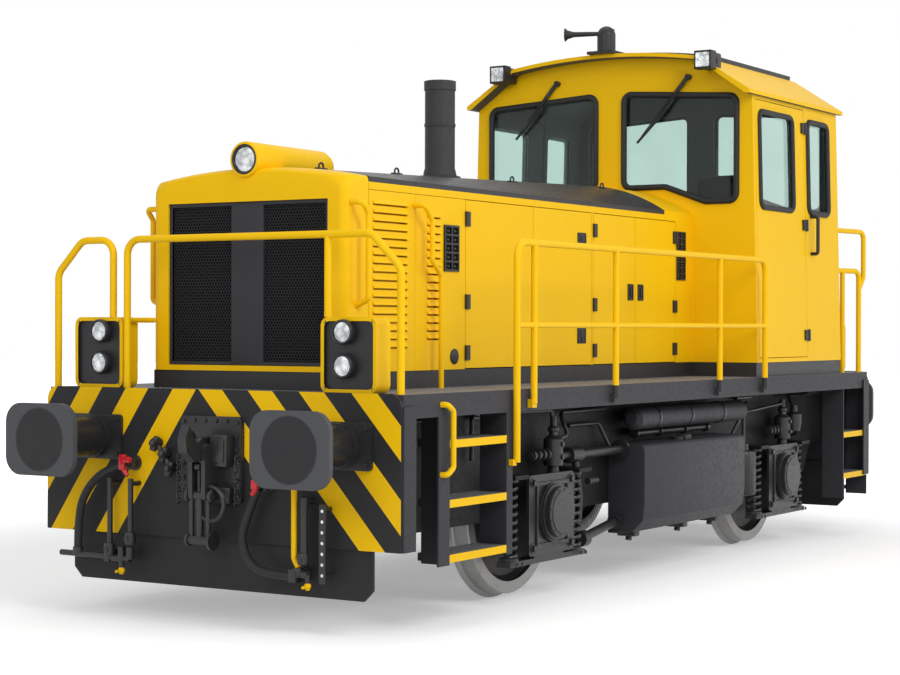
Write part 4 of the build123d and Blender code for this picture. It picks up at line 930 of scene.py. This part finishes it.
def make_cab_trim():
    """The grips beside the doors and the roof hatch."""
    grips = []
    for side in (-1, 1):
        wall = side * side_wall_y(2400)
        out = wall + side * 60
        grips.append(bent([(-2395, y, z) for y, z in (
            (wall, 2551), (out, 2551), (out, 2263), (wall, 2263))], 22))
    pipe("cab_grips", grips, 14, PLASTIC)
    hatch = Piece()
    arch = [(y, 3798 - 66 * (y / 790) ** 2) for y in range(-780, 781, 120)]
    verts = [hatch.bm.verts.new(at(-1480, y, z)) for y, z in arch]
    edges = [hatch.bm.edges.new(pair) for pair in zip(verts, verts[1:])]
    grown = bmesh.ops.extrude_edge_only(hatch.bm, edges=edges)
    bmesh.ops.translate(hatch.bm, vec=at(-1500, 0, 0),
                        verts=[v for v in grown["geom"] if isinstance(v, bmesh.types.BMVert)])
    bmesh.ops.solidify(hatch.bm, geom=hatch.bm.faces[:], thickness=-0.036)
    hatch.done("roof_hatch", CASING_BLACK)


def make_seat():
    """The driver's padded seat on its pedestal."""
    rest = Piece()
    rest.rod((-2250, 420, 1431), (-2250, 420, 1815), 50, 42)
    rest.rod((-2250, 420, 1431), (-2250, 420, 1450), 170)
    rest.box((-2450, -2060), (215, 625), (1800, 1832), 10)
    rest.box((-2512, -2480), (380, 460), (1815, 2780), 8)
    rest.done("seat_frame", PLASTIC)
    for name, xs, ys, zs, bevel, replaces in (
            ("seat_cushion", (-2480, -2020), (195, 645), (1832, 1925), 40, ["driver_seat"]),
            ("seat_back", (-2490, -2400), (205, 635), (1950, 2500), 40, None),
            ("seat_headrest", (-2485, -2395), (215, 595), (2560, 2905), 42, None)):
        soft = Piece().box(xs, ys, zs, bevel, steps=5)
        bmesh.ops.subdivide_edges(soft.bm, edges=soft.bm.edges[:], cuts=2, use_grid_fill=True)
        soft.done(name, CLOTH, sharp=80, replaces=replaces)


def make_desk():
    """The desk's panel with its dials and levers, and the handwheel."""
    desk = Piece()
    desk.box((-1690, -1400), (-630, 480), (2280, 2300), 6)
    desk.box((-1480, -1370), (-600, 450), (2300, 2420), 12)
    for y in (-420, -300, -60, 60, 300):
        desk.rod((-1484, y, 2360), (-1500, y, 2362), 38, 34)
    for y in (-180, 180):
        desk.rod((-1580, y, 2298), (-1580, y, 2400), 9).ball((-1580, y, 2410), 22)
    desk.done("desk_panel", DESK)
    x, y, z = -1560, -430, 2560
    wheel = Piece().ring((x, y, z), (0.25, 0, 1), 175, 13, 36)
    wheel.rod((x, y, 2300), (x, y, z), 18).ball((x, y, z - 5), 34)
    for angle in (0.3, 2.39, 4.49):
        across, along = math.sin(angle), math.cos(angle)
        wheel.rod((x, y, z - 4), (x + 170 * along, y + 170 * across, z - 42 * along), 8)
    wheel.done("handwheel", PLASTIC)


# ---- running gear ----
SPRING_Y = 1030
SPRING_OFFSET = 400


def make_springs():
    """Coil springs wound by a spin that also climbs, between their cups."""
    coils = Piece()
    turns, steps = 9, 14
    low, high, radius, wire = 290, 768, 46, 13
    climb = (high - low - 2 * wire) / 1000 / (turns * steps)
    for x in (axle_x + end * SPRING_OFFSET for axle_x in AXLES_X for end in (-1, 1)):
        start = Matrix.Translation(at(x + radius, SPRING_Y, low + wire))
        circle = bmesh.ops.create_circle(coils.bm, cap_ends=True, segments=8, radius=wire / 1000,
                                         matrix=start @ Matrix.Rotation(math.pi / 2, 4, "X"))
        verts = circle["verts"]
        geometry = verts + list({e for v in verts for e in v.link_edges}) \
            + list({f for v in verts for f in v.link_faces})
        bmesh.ops.spin(coils.bm, geom=geometry, cent=at(x, SPRING_Y, 0), axis=UP,
                       dvec=(0, 0, climb), angle=2 * math.pi * turns, steps=turns * steps)
        for bottom, top, width in ((282, 300, 60), (757, 775, 60), (290, 765, 20)):
            coils.rod((x, SPRING_Y, bottom), (x, SPRING_Y, top), width)
    coils.twin(OTHER_SIDE).done("coil_springs", CASTING, replaces=["suspension_springs"])


def add_axlebox_trim(iron, axle_x):
    """The bolts, ribs and cover of an axlebox, and the valve and pipes over it."""
    for x in (axle_x - 236, axle_x + 236):
        for z in (347, 743):
            iron.lathe((x, 1104, z), ACROSS, [(0, 0), (0, 32), (4, 32), (6, 30), (6, 0)], 20)
            iron.bolts([(x, 1108, z)], ACROSS, 21, 18)
    ribs = ((0, 176, 186, 14), (0, -196, 186, 14), (-190, -10, 14, 200), (190, -10, 14, 200))
    for x, z, wide, tall in ribs:
        x, z = axle_x + x, AXLE_Z + z
        iron.box((x - wide, x + wide), (1104, 1118), (z - tall, z + tall), 5)
    iron.lathe((axle_x, 1180, AXLE_Z), ACROSS,
               [(-60, 157), (-60, 172), (-40, 172), (-36, 157), (-6, 157), (0, 152), (2, 132),
                (7, 130), (8, 0)], 40)
    iron.bolts([(x, 1179, z) for x, z in round_the_clock((axle_x, AXLE_Z), 141, 12, 0.2)],
               ACROSS, 7, 5)
    iron.box((axle_x - 20, axle_x + 20), (1187, 1191), (630, 634), 1)
    for spring_x in (axle_x - SPRING_OFFSET, axle_x + SPRING_OFFSET):
        iron.bolts([(spring_x + a, 1108, 266) for a in (-30, 30)], ACROSS, 12, 9)
    x, y = axle_x - 150, SPRING_Y
    iron.lathe((x, y, 800), UP,
               [(-32, 0), (-32, 40), (20, 34), (26, 60), (40, 62), (190, 62), (200, 52), (215, 30),
                (235, 26), (240, 36), (262, 36), (270, 22), (330, 20), (330, 0)])
    iron.rods(((x - 40, y, 880), (x - 200, y, 880), 26), ((x + 40, y, 900), (x + 300, y, 900), 26),
              ((x - 200, y, 880), (x - 205, y, 880), 44))
    for step in (90, 150, 210, 270):
        iron.rod((x + step, y, 900), (x + step + 16, y, 900), 38)
    iron.bolts([(x, 1090, z) for z in (880, 960)], ACROSS, 16, 14)


def make_running_gear():
    """Bolts, covers, valves and pipes round the axleboxes and tanks."""
    iron = Piece()
    for axle_x in AXLES_X:
        add_axlebox_trim(iron, axle_x)
    y = SPRING_Y
    iron.rods(((1230, y, 880), (500, y, 880), 30), ((1250, y, 880), (1110, y, 880), 52),
              ((530, y, 880), (502, y, 880), 66), ((1160, y, 880), (1140, 1060, 620), 24, 18),
              ((1140, 1060, 620), (1150, 1060, 470), 18), ((980, y, 700), (860, y, 700), 22),
              ((-1190, y, 760), (-1160, y, 760), 60), ((300, 1010, 975), (-900, 1010, 975), 24),
              ((1010, 1000, 330), (560, 1000, 400), 30), ((1030, 1000, 330), (960, 1000, 330), 52),
              ((560, 1000, 400), (520, 1000, 405), 48))
    iron.lathe((-1420, 1060, 440), UP,
               [(0, 0), (0, 60), (10, 82), (30, 92), (300, 92), (330, 80), (340, 40), (385, 34),
                (385, 0)])
    iron.box((-1470, -1370), (925, 985), (600, 660), 6)
    iron.lathe((-2420, 1050, 880), UP,
               [(0, 0), (0, 50), (60, 60), (130, 60), (150, 30), (200, 26), (200, 0)])
    for x in (150, -360, -900):
        iron.lathe((x, 1075, 1080), ALONG, [(-16, 74), (-16, 80), (16, 80), (16, 74)])
    for x in (260, -100, -500, -860):
        iron.rods(((x, 1010, 975), (x + 30, 1010, 975), 36),
                  ((x + 15, 1010, 975), (x + 15, 960, 1100), 16))
    for x, z in ((3000, 1152), (2300, 1152), (900, 1152), (-1500, 1160), (-2900, 1160)):
        iron.rod((x, 960, z), (x - 260, 960, z), 17)
    iron.twin(OTHER_SIDE).done("running_gear_trim", CASTING)
    routes = (
        [(1438, 1020, 1130), (1438, 1020, 1170), (2300, 960, 1170), (2300, 960, 900)],
        [(1435, 1060, 990), (1300, 1060, 1010), (1300, 1000, 1150), (600, 960, 1150)],
        [(1110, 960, 1060), (700, 960, 1060), (620, 1000, 900), (510, 1000, 840)],
        [(-1130, 1010, 860), (-1280, 1010, 860), (-1330, 1060, 1000), (-1700, 960, 1120)],
        [(-1420, 1060, 800), (-1420, 1060, 1060), (-1700, 1000, 1060), (-2235, 1030, 1100)],
        [(-2420, 1050, 1060), (-2420, 1000, 1150), (-3000, 960, 1150)],
    )
    pipes = [bent(route, 50) for route in routes]
    mirrored = [[(x, -y, z) for x, y, z in run] for run in pipes]
    pipe("air_pipes", pipes + mirrored, 13, CASTING)


def make_tanks():
    """Fuel tanks folded from plate, with a wide slope under and a rounded top edge."""
    tank = Piece()
    tank.box((-1130, 500), (925, 1200), (320, 915))
    for corner_z, radius, steps in ((915, 52, 5), (320, 205, 3)):
        tank.bevel([edge for edge in tank.bm.edges if all(
            vert.co.y > 1.19 and abs(vert.co.z * 1000 - corner_z) < 1 for vert in edge.verts)],
            radius, steps, 0.62)
    ends = [face for face in tank.bm.faces if abs(face.normal.x) > 0.9]
    tank.bevel({edge for face in ends for edge in face.edges}, 9, 3)
    tank.box((-330, -230), (1080, 1150), (910, 948), 10)
    tank.rod((-200, 1100, 905), (-200, 1100, 935), 40)
    tank.twin(OTHER_SIDE).done("fuel_tank_shells", CHARCOAL, sharp=25, replaces=["fuel_tanks"])
    feet = Piece()
    for x in (330, -420, -960):
        feet.box((x - 40, x + 40), (930, 1060), (290, 330), 6)
        feet.rod((x, 1000, 300), (x + 10, 1000, 262), 22)
    feet.twin(OTHER_SIDE).done("tank_brackets", CASTING)


make_end_castings()
make_end_trim()
make_lamps()
make_grille()
make_bonnet_top()
make_bonnet_vents()
for side, hand in HANDS:
    make_latches(side, hand)
make_exhaust()
make_window_rubbers()
make_wipers()
make_cab_trim()
make_seat()
make_desk()
make_springs()
make_running_gear()
make_tanks()


# ---- hoses ----
HOSE_ROUTES = {
    # across (Y) and up (Z), in the plane ahead of the headstock
    "right": ((-600.2, 892.6), (-740, 852), (-868, 748), (-940, 600), (-940, 400)),
    "left": ((372.4, 794.9), (312, 668), (252, 510), (322, 365), (462, 330), (600, 330)),
}
HOSE_RADIUS = 0.024


def make_hose(end, place, hand):
    """A brake hose that hangs from its cock to where it is held."""
    points = [(end * HOSE_X, end * y, z) for y, z in HOSE_ROUTES[hand]]
    curve = round_bar(f"{place}_{hand}_hose", [points], HOSE_RADIUS * 1000, "NURBS", steps=5)
    line = curve.splines[0]
    line.order_u = 3
    line.use_endpoint_u = True
    hose = settle(curve, RUBBER, replaces=[f"brake_hose_{place}_{hand}"])


for end, place in ENDS:
    for _, hand in HANDS:
        make_hose(end, place, hand)


# ---- stage, light and camera ----
def area_light(name, place, target, size, power):
    """A soft square lamp aimed at a point."""
    data = bpy.data.lights.new(name, "AREA")
    data.shape = "SQUARE"
    data.size = size
    data.energy = power
    lamp = show(name, data)
    lamp.location = place
    lamp.rotation_euler = (Vector(target) - Vector(place)).to_track_quat("-Z", "Y").to_euler()


def background_rays(nodes):
    """1 for the rays that show the background itself: camera, glossy and transmission rays."""
    rays = nodes.add("ShaderNodeLightPath").outputs
    mirrored = nodes.math("MAXIMUM", rays["Is Glossy Ray"], rays["Is Transmission Ray"])
    return nodes.math("MAXIMUM", rays["Is Camera Ray"], mirrored)


def make_floor():
    """A pale floor under the wheels that whitens with distance."""
    grid = Piece()
    bmesh.ops.create_grid(grid.bm, x_segments=1, y_segments=1, size=60)
    material, nodes, shader = new_material("pale floor")
    away = nodes.add("ShaderNodeVectorMath", {0: nodes.coordinates()}, operation="LENGTH")
    fade = nodes.ramp(away.outputs["Value"], 3.5, 8.5, 0.35, 1.0)
    nodes.feed(shader, {
        "Base Color": (0.86, 0.86, 0.86, 1),
        "Roughness": 0.9,
        "Specular IOR Level": 0.1,
        "Emission Color": (1, 1, 1, 1),
        "Emission Strength": nodes.times(background_rays(nodes), fade),
    })
    floor = show("floor", grid.mesh("floor"))
    floor.data.materials.append(material)


def make_surround():
    """A white surround, greyer where it only lights the piece."""
    world = bpy.data.worlds.new("studio")
    bpy.context.scene.world = world
    world.use_nodes = True
    nodes = Nodes(world.node_tree)
    seen = background_rays(nodes)
    nodes.feed(world.node_tree.nodes["Background"], {
        "Color": nodes.mix(seen, (0.86, 0.88, 0.9), (1.0, 1.0, 1.0)),
        "Strength": nodes.math("MULTIPLY_ADD", seen, 0.58, 0.42),
    })
    bpy.context.scene.view_settings.view_transform = "Standard"


def make_camera():
    """The camera, for a frame 900 wide and 675 high."""
    yaw, pitch, roll = math.radians(31.94), math.radians(-0.3045), math.radians(0.1505)
    focal_pixels, sensor = 2006.16, 36
    forward = Vector((-math.cos(yaw) * math.cos(pitch), -math.sin(yaw) * math.cos(pitch),
                      math.sin(pitch)))
    right = forward.cross(Vector(UP)).normalized()
    up = right.cross(forward)
    right, up = (math.cos(roll) * right + math.sin(roll) * up,
                 math.cos(roll) * up - math.sin(roll) * right)
    data = bpy.data.cameras.new("camera")
    data.sensor_fit = "HORIZONTAL"
    data.sensor_width = sensor
    data.lens = focal_pixels / 900 * sensor
    data.clip_end = 200
    camera = show("camera", data)
    turn = Matrix((right, up, -forward)).transposed().to_4x4()
    camera.matrix_world = Matrix.Translation((12.374, 7.0895, 1.687)) @ turn
    bpy.context.scene.camera = camera


make_floor()
make_surround()
area_light("key", (6, 11, 9), (0, 0, 1.5), 6, 800)
area_light("front", (13, 1, 6), (1, 0, 1.5), 6, 330)
area_light("side", (-5, 12, 5), (-1, 0, 1.8), 7, 350)
area_light("top", (0, 0, 12), (0, 0, 0), 8, 220)
make_camera()
